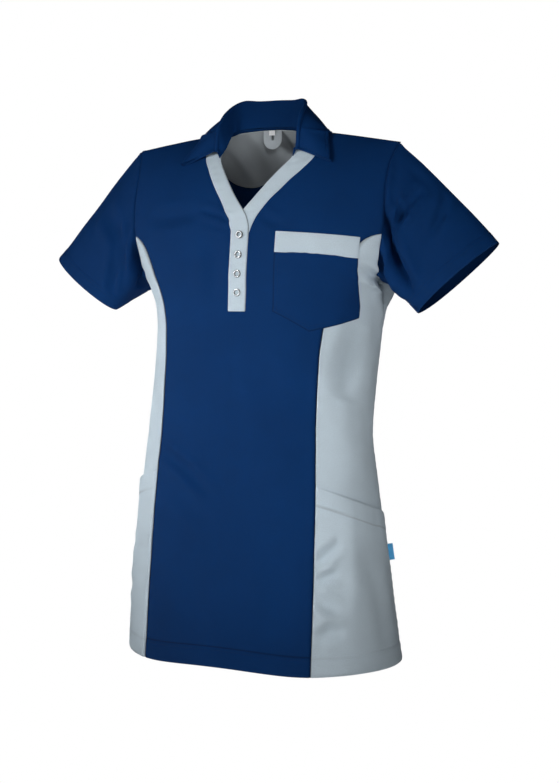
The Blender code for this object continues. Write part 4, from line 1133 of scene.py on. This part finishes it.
def curve(points, count):
    """Points at even steps on a smooth curve through the given ones, square to the middle plane at first."""
    points = np.asarray(points, float)
    before = np.concatenate([points[1:2] * (-1.0, 1.0, 1.0), points])
    place = np.arange(count) * (len(points) - 1) / (count - 1)
    i = np.minimum(place.astype(int), len(points) - 2)
    s = (place - i)[:, None]
    a, b = before[i], points[i]
    c, d = points[i + 1], points[np.minimum(i + 2, len(points) - 1)]
    return (
        b * (1.5 * s**3 - 2.5 * s**2 + 1)
        + c * (-1.5 * s**3 + 2 * s**2 + 0.5 * s)
        + a * (-0.5 * s**3 + s**2 - 0.5 * s)
        + d * (0.5 * s**3 - 0.5 * s**2)
    )


def back_lift(x, height, distance):
    return lift(back_angle(np.float64(x), np.float64(height)), height, distance)


def front_lift(x, height, distance):
    return lift(front_angle(np.float64(x), np.float64(height)), height, distance)


def collar_paths(count):
    """Neck seam, roll line and leaf edge of the wearer's left half, from centre back forwards."""
    low, high = COLLAR_LIFT, COLLAR_LIFT + COLLAR_WALL
    neck = [back_lift(x, back_top_height(np.float64(x)), low) for x in (0.0, 0.022, 0.042)]
    neck.append((NECK_HALF_WIDTH, 0.0, low))
    neck += [front_lift(read(BANDS, h, "inner"), h, low) for h in (-0.010, -0.023, -0.036)]
    roll = [
        (0.0, 0.0290, 0.0440),
        (0.0260, 0.0255, 0.0435),
        (0.0455, 0.0165, 0.0445),
        (0.0548, 0.0015, 0.0380),
        (0.0580, -0.0190, 0.0240),
        (0.0585, -0.0330, 0.0020),
        (0.0575, -0.0350, -0.0270),
    ]
    leaf = [
        back_lift(0.0, -0.012, high),
        back_lift(0.036, -0.011, high),
        back_lift(0.070, -0.012, high),
        back_lift(0.089, -0.012, high),
        (0.0940, shoulder_depth(0.0940) - 0.004, shoulder_height(0.0940) + high),
        front_lift(0.1020, -0.026, high + 0.001),
        front_lift(0.1090, -0.0470, high + 0.001),
    ]
    return [curve(path, count) for path in (neck, roll, leaf)]


def clear_of_body(point, distance):
    """Moves points out until they are clear of the torso surface."""
    x = point[..., 0]
    height = np.minimum(point[..., 2], shoulder_height(x) - 0.0004)
    front = point[..., 1] < shoulder_depth(x)
    angle = np.where(front, front_angle(x, height), back_angle(x, height))
    normal = torso_normal(angle, height)
    above = ((point - torso(angle, height)) * normal).sum(-1)
    return point + normal * np.maximum(distance - above, 0.0)[..., None]


def make_collar():
    count = COLLAR_STATIONS
    neck, roll, leaf = collar_paths(count)
    number = np.arange(count)
    along = unit(roll[np.minimum(number + 1, count - 1)] - roll[np.maximum(number - 1, 0)])
    along[0] = (1.0, 0.0, 0.0)
    out = leaf - roll
    out = unit(out - along * (out * along).sum(-1, keepdims=True))
    up = unit(np.cross(along, out))
    up = up * np.where((up * (roll - neck)).sum(-1, keepdims=True) < 0, -1.0, 1.0)
    stand_top = roll - up * ROLL_RADIUS
    hub = stand_top + out * ROLL_RADIUS
    columns = [mix(neck, stand_top, share) for share in STAND_SHARES]
    for turn in np.arange(9) * math.pi / 8:
        columns.append(hub - out * ROLL_RADIUS * math.cos(turn) + up * ROLL_RADIUS * math.sin(turn))
    start = columns[-1]
    lean = unit(out + up)
    distance = np.linalg.norm(leaf - start, axis=-1).mean()
    station = np.linspace(0.0, 1.0, count)[:, None]
    for share in stations(distance, COLLAR_CELL, (), LEAF_MARKS)[1:]:
        place = mix(start, leaf, share) + lean * LEAF_CROWN * math.sin(math.pi * share)
        rolled = LEAF_TIP_ROLL * ease((station - LEAF_TIP_FROM) / LEAF_TIP_OVER) * share**3
        columns.append(clear_of_body(place, COLLAR_LIFT + COLLAR_WALL) + lean * rolled)
    half = np.stack(columns, 1)
    far_half = half * [-1, 1, 1]
    upright = ease((station - STAND_UPRIGHT_FROM) / STAND_UPRIGHT_OVER)
    leans = ease((station - STAND_LEANS_FROM) / STAND_LEANS_OVER) * (1.0 - upright)
    far_half[:, : len(STAND_SHARES), 0] += STAND_LEANS_IN * leans * (1.0 - STAND_SHARES)
    points = np.concatenate([far_half[:0:-1], half])
    normals = grid_normals(points)
    if normals[len(points) // 2, 0, 1] > 0:
        normals = -normals
    start, end, top, bottom = borders(points)
    offset = ripple(points, 9, size=0.045, height=0.00035) * ease(start / 0.03)
    offset += swell(end, at=0.0022, height=0.0003, width=0.0020) + groove(end, COLLAR_STITCH, depth=0.0003)
    offset += dip(end, 0.0004, 0.0010)
    for edge in (top, bottom):
        ridge = swell(edge, at=0.0022, height=0.0003, width=0.0020)
        ridge = groove(edge, COLLAR_STITCH, depth=0.0003) + ridge
        offset += np.where(start > LEAF_STARTS, ridge, 0.0)
        offset += dip(edge, 0.0004, 0.0010)
    offset += pucker(end, spans(points, 0), 51, height=0.0003, reach=0.008, size=0.012)
    leaf_only = [values[:, LEAF_COLUMN:] for values in (points, normals, offset)]
    sew("navy", leaf_only, "right", COLLAR_STITCH, 0.035, 0.965)
    for edge in ("top", "bottom"):
        sew("navy", leaf_only, edge, COLLAR_STITCH, 0.10, 0.90)
    shell("collar", points, normals, offset, navy, wall=COLLAR_WALL)


# Bands of the neck and the placket
BAND_WALL = 0.0013
BAND_TUCKED = -0.036
BAND_WIDTH = 0.027
BAND_CELL = 0.0028
BAND_MARKS = (0.0004, 0.0010, 0.0018, 0.0025, 0.0032, 0.0039, 0.0048)
BAND_STITCH = 0.0026
BAND_CROSS_STITCH = 0.0170


def band_places(t, v, side):
    """x and height on a band, by row; v runs from its inner edge, 0, to the outer one, 1."""
    heights = [row.height for row in BANDS]
    level = np.interp(t, np.arange(len(heights)), heights)
    tuck = ease((level - BAND_TUCKED) / (BANDS[0].height - BAND_TUCKED))
    inner, outer = read(BANDS, level, "inner"), read(BANDS, level, band_column(side))
    x = mix(inner + 0.0028 * tuck, outer - 0.0030 * tuck, v)
    height = np.where(t < 1, mix(shoulder_height(x), heights[1], np.minimum(t, 1.0)), level)
    foot = 0.002 * np.clip(t - len(heights) + 2, 0.0, 1.0) if side > 0 else 0.0
    return side * x, height + foot


def make_band(side):
    guides = [lambda t, v=v: on_front(*band_places(t, v, side)) for v in (0.1, 0.9)]
    t = even_places(guides, len(BANDS) - 1, BAND_MARKS, BAND_MARKS, BAND_CELL)[:, None]
    v = stations(BAND_WIDTH, BAND_CELL, BAND_MARKS, BAND_MARKS)[None, :]
    x, height = band_places(t, v if side > 0 else v[:, ::-1], side)
    points, normals = panel(front_angle(x, height), height)
    start, end, _, bottom = borders(points)
    inner, outer = (start, end) if side > 0 else (end, start)
    along = spans(points, 0)
    offset = body_relief(points) * ease(bottom / 0.02) + NECK_BAND_LIFT
    for edge, depth in ((inner, 0.0005), (outer, 0.0006), (bottom, 0.0006)):
        offset += dip(edge, depth, 0.0009) + groove(edge, BAND_STITCH, depth=0.00022, width=0.0008)
    offset += pucker(outer, along, 61 + side, height=0.00028, reach=0.012, size=0.013)
    offset += pucker(inner, along, 64 + side, height=0.00042, reach=0.010, size=0.013)
    offset += ripple(points, 67 + side, size=0.016, height=0.00016) * ease(np.minimum(inner, outer) / 0.008)
    surface = (points, normals, offset)
    if side > 0:
        offset -= under_band_drop(height)
        sew("grey", surface, "right", BAND_STITCH, 0.06, 0.50)
        sew("grey", surface, "left", BAND_STITCH, 0.12, 0.50)
        shell("neck_band_under", *surface, grey, wall=BAND_WALL, seam=0.0 * inner)
        return
    sew("grey", surface, "left", BAND_STITCH, 0.06, 0.985)
    sew("grey", surface, "right", BAND_STITCH, 0.12, 0.985)
    for distance in (BAND_STITCH, BAND_CROSS_STITCH):
        sew("grey", surface, "bottom", distance, 0.12, 0.88)
    # Painted shade: darker colour along the top band's inner edge below the V, where it shades the band
    # beneath.
    seam = 0.6 * bell(inner, 0.0011) * ease((-0.040 - height) / 0.010)
    shell("neck_band_top", *surface, grey, wall=BAND_WALL, seam=seam)


# Back neck facing, loop and label
FACING_HALF_WIDTH = 0.104
FACING_DEPTH = 0.0625
FACING_SQUARENESS = 7
FACING_TOP_DROP = 0.0012
FACING_SHOULDER_DROP = 0.0012
FACING_SHOULDER_STARTS = 0.040
FACING_EDGE = 0.004
FACING_SINK = 0.0013 + 0.0009
FACING_WALL = 0.0008
FACING_STITCH = 0.0040
FACING_CELL = 0.0024
FACING_MARKS = (0.0005, 0.0012, 0.0024, 0.0036, 0.0048)
FacingFold = namedtuple("FacingFold", "across width slant depth")
FACING_FOLDS = [
    FacingFold(-0.078, 0.008, -0.40, 0.0012),
    FacingFold(-0.030, 0.010, -0.10, 0.0008),
    FacingFold(0.028, 0.009, -0.10, 0.0009),
    FacingFold(0.064, 0.009, 0.30, 0.0010),
]


def make_facing():
    across = np.linspace(1.0, -1.0, 76)[None, :]
    down = stations(FACING_DEPTH, FACING_CELL, (0.0012, 0.0024), FACING_MARKS)[:, None]
    x = FACING_HALF_WIDTH * across
    beside = (np.abs(x) - FACING_SHOULDER_STARTS) / (NECK_HALF_WIDTH - FACING_SHOULDER_STARTS)
    top = back_top_height(x) - FACING_TOP_DROP - FACING_SHOULDER_DROP * ease(beside)
    foot = top - FACING_DEPTH * (1.0 - np.abs(across) ** FACING_SQUARENESS) ** 0.5 - FACING_EDGE
    height = mix(top, foot, down)
    points, normals = panel(back_angle(x, height), height)
    folds = sum(
        fold.depth * bell(x - fold.across - fold.slant * (height - top), fold.width) for fold in FACING_FOLDS
    )
    _, _, up, low = borders(points)
    offset = -FACING_SINK - folds * ease(up / 0.03) - 0.0006 * (1 + np.sin(x * 180)) * ease(up / 0.02)
    offset = offset - groove(low, FACING_STITCH, depth=0.0003)
    sew("grey", (points, normals, offset - FACING_WALL), "bottom", FACING_STITCH, 0.04, 0.96, outside=-1)
    shell("back_neck_facing", points, normals, offset, inner_grey, wall=FACING_WALL)


LOOP_RADIUS = 0.0078
LOOP_STRAIGHT = 0.0113
LOOP_RIBBON = 0.0118
LOOP_TOP = 0.0012
LOOP_OFF = 0.0017
LOOP_CLEARANCE = 0.0009
LABEL_CLEARANCE = 0.0024
LOOP_WALL = 0.0008
LABEL_WALL = 0.0005
LABEL_WIDTH = 0.0085
LABEL_HEIGHT = 0.0065


def hung_inside(across, below, off):
    """Points that hang straight down inside the back neck, off in from the facing at the seam."""
    seam = lift(math.pi, BACK_NECK_RISE - LOOP_TOP, -(FACING_SINK + 0.001))
    across, below, off = np.broadcast_arrays(across, below, off)
    return seam + np.stack([across, -off, -below], -1)


def make_loop():
    straight = np.linspace(0.0, LOOP_STRAIGHT, 8)
    turn = np.linspace(0.0, math.pi, 28)[1:-1]
    x = np.concatenate([np.full(8, -LOOP_RADIUS), -LOOP_RADIUS * np.cos(turn), np.full(8, LOOP_RADIUS)])
    below = np.concatenate([straight, LOOP_STRAIGHT + LOOP_RADIUS * np.sin(turn), straight[::-1]])
    path = np.stack([x, below], -1)
    way = unit(np.gradient(path, axis=0))
    side = np.stack([way[:, 1], -way[:, 0]], -1)
    v = np.array([-0.5, -0.44, -0.34, -0.17, 0.0, 0.17, 0.34, 0.44, 0.5])[None, :]
    u = path[:, :1] + side[:, :1] * v * LOOP_RIBBON
    w = path[:, 1:] + side[:, 1:] * v * LOOP_RIBBON
    points = hung_inside(u, w, LOOP_OFF + LOOP_CLEARANCE)
    normals = np.broadcast_to([0.0, -1.0, 0.0], points.shape)
    offset = 0.00025 * np.cos(v * math.pi * 2) + 0.0004 * ease(w / 0.012)
    offset = offset - 0.0002 * bell(np.abs(v) - 0.5, 0.05)
    shell("hanger_loop", points, normals, offset, shade_darkened_loop_grey, wall=LOOP_WALL, kind="ribbon")


def make_neck_label():
    u = np.linspace(-0.5, 0.5, 7)[None, :] * LABEL_WIDTH
    v = np.linspace(0.0, 1.0, 6)[:, None] * LABEL_HEIGHT
    points = hung_inside(u, v, LOOP_OFF + LABEL_CLEARANCE)
    normals = np.broadcast_to([0.0, -1.0, 0.0], points.shape)
    offset = 0.0003 * (v / LABEL_HEIGHT) ** 2 + 0.0 * u
    shell("neck_label", points, normals, offset, white_tape, wall=LABEL_WALL, kind="tape")


SIDE_LABEL_TOP = -0.5480
SIDE_LABEL_HEIGHT = 0.0220
SIDE_LABEL_REACH = 0.0085


def make_side_label():
    """A small folded tab caught in the wearer's left side seam, standing out from it."""
    normal = torso_normal(SIDE_SEAM_ANGLE, SIDE_LABEL_TOP)
    side = unit(np.cross(normal, [0.0, 0.0, 1.0]))
    height = SIDE_LABEL_TOP - np.linspace(0.0, 1.0, 9)[:, None] * SIDE_LABEL_HEIGHT
    out = np.array([-0.15, 0.15, 0.4, 0.65, 0.85, 0.95, 1.0])[None, :]
    root = lift(SIDE_SEAM_ANGLE, height, np.full(height.shape, 0.0008))
    points = root + normal * (out * SIDE_LABEL_REACH)[..., None]
    normals = np.broadcast_to(side, points.shape)
    lean = 0.0010 * out**2 + 0.0005
    wall = np.broadcast_to(np.where(out > 0.97, 0.0007, 0.0010), height.shape[:1] + out.shape[1:])
    offset = lean + 0.0 * height
    shell("side_label", points, normals, offset, blue_tape, wall=wall, kind="tape")


# Pockets
CHEST_POCKET_INNER = 0.0525
CHEST_POCKET_OUTER_TOP = 0.1630
CHEST_POCKET_OUTER_LOW = 0.1520
CHEST_POCKET_TOP_INNER = -0.1350
CHEST_POCKET_TOP_OUTER = -0.1435
CHEST_BAND_HEIGHT = 0.0270
CHEST_POCKET_BODY_HEIGHT = 0.0770
CHEST_POCKET_POINT = 0.0225
CHEST_POCKET_POINT_SHARE = 0.34
CHEST_POCKET_WIDTH = 0.108
CHEST_BAND_LIFT = 0.0021
CHEST_BAND_STITCH = 0.0025
CHEST_BAND_SIDE_STITCH = 0.0022
CHEST_BAND_WALL = 0.0011
CHEST_BODY_WALL = 0.0008
CHEST_BODY_LENGTH = 0.090
CHEST_BODY_TUCKED = 0.0030
CHEST_BODY_LIFT = 0.0012
CHEST_BODY_PUFF = 0.0011
CHEST_BODY_STITCHES = (0.0020, 0.0066)
CHEST_BODY_GROOVES = (0.0022, 0.0066)
CHEST_BODY_MARKS = (0.0004, 0.0010, 0.0018, 0.0025, 0.0032, 0.0060, 0.0067, 0.0074)
POCKET_MARKS = (0.0004, 0.0010, 0.0018, 0.0025, 0.0032)
POCKET_CELL = 0.003
CHEST_ACROSS = stations(CHEST_POCKET_WIDTH, POCKET_CELL, POCKET_MARKS, POCKET_MARKS)


def chest_grid(across, below):
    """Points on the torso for places across the chest pocket and distances below its slanted top."""
    height = mix(CHEST_POCKET_TOP_INNER, CHEST_POCKET_TOP_OUTER, across) - below
    low = CHEST_POCKET_TOP_OUTER - CHEST_BAND_HEIGHT - CHEST_POCKET_BODY_HEIGHT
    share = np.clip((CHEST_POCKET_TOP_OUTER - height) / (CHEST_POCKET_TOP_OUTER - low), 0.0, 1.0)
    outer_x = mix(CHEST_POCKET_OUTER_TOP, CHEST_POCKET_OUTER_LOW, share)
    angle = mix(front_angle(CHEST_POCKET_INNER, height), front_angle(outer_x, height), across)
    return panel(angle, height)


def make_chest_band():
    across = CHEST_ACROSS[None, :]
    below = stations(CHEST_BAND_HEIGHT, POCKET_CELL, POCKET_MARKS, POCKET_MARKS)[:, None] * CHEST_BAND_HEIGHT
    points, normals = chest_grid(across, below)
    start, end, top, bottom = borders(points)
    offset = body_relief(points) + CHEST_BAND_LIFT
    for edge in (start, end, top, bottom):
        offset += dip(edge, 0.0005, 0.0008)
    offset += groove(bottom, CHEST_BAND_STITCH, depth=0.00022) + groove(top, CHEST_BAND_STITCH, depth=0.00022)
    offset += pucker(bottom, spans(points, 1), 71, height=0.00014, reach=0.010, size=0.014)
    for edge in (start, end):
        offset -= 0.0006 * (1 - ease(edge / 0.006))
    for edge in ("bottom", "top"):
        sew("grey", (points, normals, offset), edge, CHEST_BAND_STITCH, 0.02, 0.98)
    for edge in ("left", "right"):
        sew("grey", (points, normals, offset), edge, CHEST_BAND_SIDE_STITCH, 0.1, 0.9)
    shell("chest_pocket_band", points, normals, offset, grey, wall=CHEST_BAND_WALL)


def make_chest_body():
    peak = CHEST_POCKET_POINT_SHARE
    across = np.union1d(CHEST_ACROSS, [peak])[None, :]
    beside = np.where(across < peak, across / peak, (1.0 - across) / (1.0 - peak))
    foot = CHEST_BAND_HEIGHT + CHEST_POCKET_BODY_HEIGHT + CHEST_POCKET_POINT * beside
    down = stations(CHEST_BODY_LENGTH, POCKET_CELL, (), CHEST_BODY_MARKS)[:, None]
    points, normals = chest_grid(across, mix(CHEST_BAND_HEIGHT - CHEST_BODY_TUCKED, foot, down))
    start, end, top, bottom = borders(points)
    offset = body_relief(points) + CHEST_BODY_LIFT
    offset += CHEST_BODY_PUFF * (ease(start / 0.030) * ease(end / 0.030) * ease(bottom / 0.035))
    for edge in (start, end, bottom):
        first, second = (groove(edge, at, depth=0.0002) for at in CHEST_BODY_GROOVES)
        offset += dip(edge, 0.0005, 0.0008) + first + second
    along = spans(points, 0)
    offset += pucker(start, along, 72, height=0.0003) + pucker(end, along, 73, height=0.0003)
    offset -= 0.0007 * ease((0.0034 - top) / 0.001)
    for distance in CHEST_BODY_STITCHES:
        for edge, first in (("left", 0.05), ("right", 0.05), ("bottom", 0.02)):
            sew("navy", (points, normals, offset), edge, distance, first, 0.97)
    # Painted shade: a dark line along the pocket's sewn edges, where the raised edge shades the front.
    seam = 0.52 * bell(np.minimum(np.minimum(start, end), bottom), 0.0014)
    shell("chest_pocket_body", points, normals, offset, navy, wall=CHEST_BODY_WALL, seam=seam)


HipPocket = namedtuple("HipPocket", "name side front_top side_top")
HIP_POCKETS = [
    HipPocket("hip_pocket_left", 1, -0.463, -0.508),
    HipPocket("hip_pocket_right", -1, -0.452, -0.490),
]
HIP_POCKET_GAPE = 0.0024
HIP_POCKET_GAPE_DEPTH = 0.075
HIP_BAND = 0.0257
HIP_BAND_STITCH = 0.0235
HIP_POCKET_LIFT = 0.0014
HIP_POCKET_LENGTH = 0.22
HIP_POCKET_MARKS = (0.0004, 0.0010, 0.0018, 0.0227, 0.0235, 0.0243, 0.0253, 0.0261)
HIP_LEVEL = -0.55
HIP_HEM_SHADE = 0.0240


def make_hip_pocket(pocket):
    def hip_line(share):
        front = princess_angle(np.full(share.shape, HIP_LEVEL))
        return torso(mix(front, SIDE_SEAM_ANGLE, share), HIP_LEVEL)

    across = even_places([hip_line], 1.0, SEAM_MARKS, SEAM_MARKS, samples=400)[None, :]
    down = stations(HIP_POCKET_LENGTH, CELL, HIP_POCKET_MARKS, HEM_MARKS)[:, None]
    height = mix(mix(pocket.front_top, pocket.side_top, across), HEM_HEIGHT, down)
    angle = mix(princess_angle(height), SIDE_SEAM_ANGLE, across)
    if pocket.side < 0:
        angle, height, across = -angle[:, ::-1], height[:, ::-1], across[:, ::-1]
    points, normals = panel(angle, height)
    start, end, up, bottom = borders(points)
    along = spans(points, 0)
    gape = 1.0 - ease(up / HIP_POCKET_GAPE_DEPTH)
    bulge = HIP_POCKET_GAPE * gape * np.maximum(np.sin(math.pi * across), 0.0) ** 0.6
    waves = ripple(points, 81 + pocket.side, size=0.07, height=0.0004)
    offset = body_relief(points) + HIP_POCKET_LIFT + bulge + waves
    offset += dip(up, 0.0005, 0.0010) + DOUBLED_HEIGHT * ease((HIP_BAND - up) / 0.0015)
    ripples = pucker(up, spans(points, 1), 82, height=0.0004, reach=0.020, size=0.018)
    offset += groove(up, HIP_BAND_STITCH, depth=0.00025) + ripples
    offset += turned_up(bottom, HEM_TURN, HEM_STITCHES)
    offset += dip(bottom, 0.0012, 0.0016)
    offset += pucker(start, along, 84 + pocket.side, height=0.0005, reach=0.012)
    offset += pucker(end, along, 87 + pocket.side, height=0.0005, reach=0.012)
    for edge in (start, end):
        offset -= 0.0017 * (1.0 - ease(edge / 0.0030))
    sew("grey", (points, normals, offset), "top", HIP_BAND_STITCH, 0.01, 0.99)
    sew_hem("grey", (points, normals, offset), 0.01, 0.99)
    # Painted shade: darker lines along the band's and the hem's stitched grooves.
    seam = np.maximum(0.36 * stitch_shade(up, HIP_BAND_STITCH), 0.12 * stitch_shade(bottom, HIP_HEM_SHADE))
    shell(pocket.name, points, normals, offset, grey, seam=seam)


# Snaps
SNAP_HEIGHTS = (-0.139, -0.165, -0.190, -0.2145)
SNAP_SIDES = 40
SNAP_SINK = 0.0007
# Below this height the ring's colour fades to near black: painted shade on its sides.
BRIGHT_ABOVE = 0.0018
BRIGHT_FADE = 0.0008
# Radius and height of the ring's section, from its inner foot over the top to its outer one
SNAP_PROFILE = [
    (0.00300, 0.00000), (0.00296, 0.00055), (0.00305, 0.00110), (0.00335, 0.00160), (0.00380, 0.00188),
    (0.00430, 0.00182), (0.00475, 0.00150), (0.00506, 0.00100), (0.00518, 0.00045), (0.00512, 0.00000),
]


def make_snap(number, height):
    """A ring round the outward direction at a place on the placket's middle line."""
    centre = lift(0.0, height, SNAP_SINK)
    axis = torso_normal(0.0, height)
    side = unit(np.cross([0.0, 0.0, 1.0], axis))
    other = np.cross(axis, side)
    turn = np.linspace(0.0, 2 * math.pi, SNAP_SIDES + 1)[:-1, None, None]
    radius, high = np.array(SNAP_PROFILE).T
    way = side * np.cos(turn) + other * np.sin(turn)
    points = centre + axis * high[None, :, None] + way * radius[None, :, None]
    rows, columns = points.shape[:2]
    index = np.arange(rows * columns).reshape(rows, columns)
    after = np.roll(index, -1, 0)
    quads = np.stack([index, after, np.roll(after, -1, 1), np.roll(index, -1, 1)], -1).reshape(-1, 4)
    mesh = bpy.data.meshes.new(f"snap_ring_{number}")
    mesh.from_pydata(points.reshape(-1, 3).tolist(), [], quads.tolist())
    mesh.shade_smooth()
    mesh.set_sharp_from_angle(angle=math.radians(60))
    # The ring's low sides are marked for the near-black colour: painted shade.
    set_attribute(mesh, "painted_rim_shade", np.tile(np.clip((BRIGHT_ABOVE - high) / BRIGHT_FADE, 0.0, 1.0), rows))
    add_piece(mesh, steel, [f"snap_{number}"])


make_front()
for side in (-1, 1):
    make_side(side)
make_back()
for cuff in CUFFS:
    make_sleeve(cuff)
make_collar()
for side in (-1, 1):
    make_band(side)
make_facing()
make_loop()
make_neck_label()
make_side_label()
make_chest_band()
make_chest_body()
for pocket in HIP_POCKETS:
    make_hip_pocket(pocket)
for number, height in enumerate(SNAP_HEIGHTS, start=1):
    make_snap(number, height)
make_stitching("stitching_navy", SEWN["navy"], navy_thread)
make_stitching("stitching_grey", SEWN["grey"], grey_thread)


# Stage, light and camera
def area_light(name, azimuth, elevation, distance, size, power, spread=180, target=(0.0, 0.0, -0.33)):
    a, e = math.radians(azimuth), math.radians(elevation)
    way = Vector((math.sin(a) * math.cos(e), -math.cos(a) * math.cos(e), math.sin(e)))
    data = bpy.data.lights.new(name, "AREA")
    data.shape = "DISK"
    data.size = size
    data.energy = power
    data.spread = math.radians(spread)
    lamp = bpy.data.objects.new(name, data)
    lamp.location = Vector(target) + way * distance
    lamp.rotation_euler = (-way).to_track_quat("-Z", "Y").to_euler()
    bpy.context.scene.collection.objects.link(lamp)


area_light("key", -30, 15, 1.3, 0.5, 0.64, 60, (0.0, -0.1, -0.36))
area_light("chest", -30, 15, 1.7, 0.8, 0.66, 30, (0.0, -0.1, -0.25))
area_light("right", 60, 0, 1.7, 0.8, 0.77, 40, (0.0, -0.1, -0.25))
area_light("low_right", 60, -15, 1.3, 0.5, 0.20, 60, (0.0, -0.1, -0.50))
area_light("low", 28, -15, 1.3, 0.5, 0.40, 60, (0.0, -0.1, -0.45))
area_light("left", -75, 0, 1.3, 0.5, 0.55, 60, (0.0, -0.1, -0.36))
area_light("neck", 32, 8, 1.6, 0.05, 0.0042, 5, (-0.035, 0.05, -0.035))
area_light("back", 208, 5, 2.6, 1.8, 45)

world = bpy.data.worlds.new("studio")
bpy.context.scene.world = world
world.use_nodes = True
tree = world.node_tree
tree.nodes.clear()
seen = add_node(tree, "ShaderNodeLightPath").outputs["Is Camera Ray"]
paper = add_node(tree, "ShaderNodeBackground", s0=(1.0, 1.0, 1.0, 1.0), s1=1.0).outputs[0]
room = add_node(tree, "ShaderNodeBackground", s0=(0.96, 0.98, 1.0, 1.0), s1=0.02).outputs[0]
both = add_node(tree, "ShaderNodeMixShader", s0=seen, s1=room, s2=paper).outputs[0]
add_node(tree, "ShaderNodeOutputWorld", s0=both)

bpy.ops.mesh.primitive_cylinder_add(vertices=96, radius=1.9, depth=0.02, location=(0.0, 0.0, -1.43))
floor = bpy.context.object
floor.name = "floor"
floor.visible_diffuse = False
pale, tree, shader = new_material("pale_floor", (0.80, 0.80, 0.80), 0.9)
speck = add_node(tree, "ShaderNodeTexNoise", s2=60.0, s3=2.0).outputs["Fac"]
tree.links.new(moved(tree, speck, 0.0, 1.0, 0.78, 0.82), shader.inputs["Base Color"])
shader.inputs["Emission Color"].default_value = (0.80, 0.80, 0.80, 1.0)
shader.inputs["Emission Strength"].default_value = 0.85
floor.data.materials.append(pale)

# The photograph's view: 28 degrees round to the wearer's left, level with the ribs, 2.5 m away
AZIMUTH = math.radians(28)
DISTANCE = 2.5
EYE_HEIGHT = -0.1917
FOCAL_PIXELS = 1852.5
AXIS_COLUMN, HORIZON_ROW = 268.5, 275.0
WIDTH, HEIGHT = 559, 783

ahead = Vector((-math.sin(AZIMUTH), math.cos(AZIMUTH), 0.0))
right = Vector((math.cos(AZIMUTH), math.sin(AZIMUTH), 0.0))
look = ahead + right * (WIDTH / 2 - AXIS_COLUMN) / FOCAL_PIXELS
look += Vector((0.0, 0.0, (HORIZON_ROW - HEIGHT / 2) / FOCAL_PIXELS))
camera_data = bpy.data.cameras.new("camera")
camera_data.sensor_width = 36.0
camera_data.lens = FOCAL_PIXELS * 36.0 / HEIGHT
camera = bpy.data.objects.new("camera", camera_data)
camera.location = -ahead * DISTANCE + Vector((0.0, 0.0, EYE_HEIGHT))
camera.rotation_euler = look.to_track_quat("-Z", "Y").to_euler()
bpy.context.scene.collection.objects.link(camera)
bpy.context.scene.camera = camera
bpy.context.scene.view_settings.view_transform = "Standard"
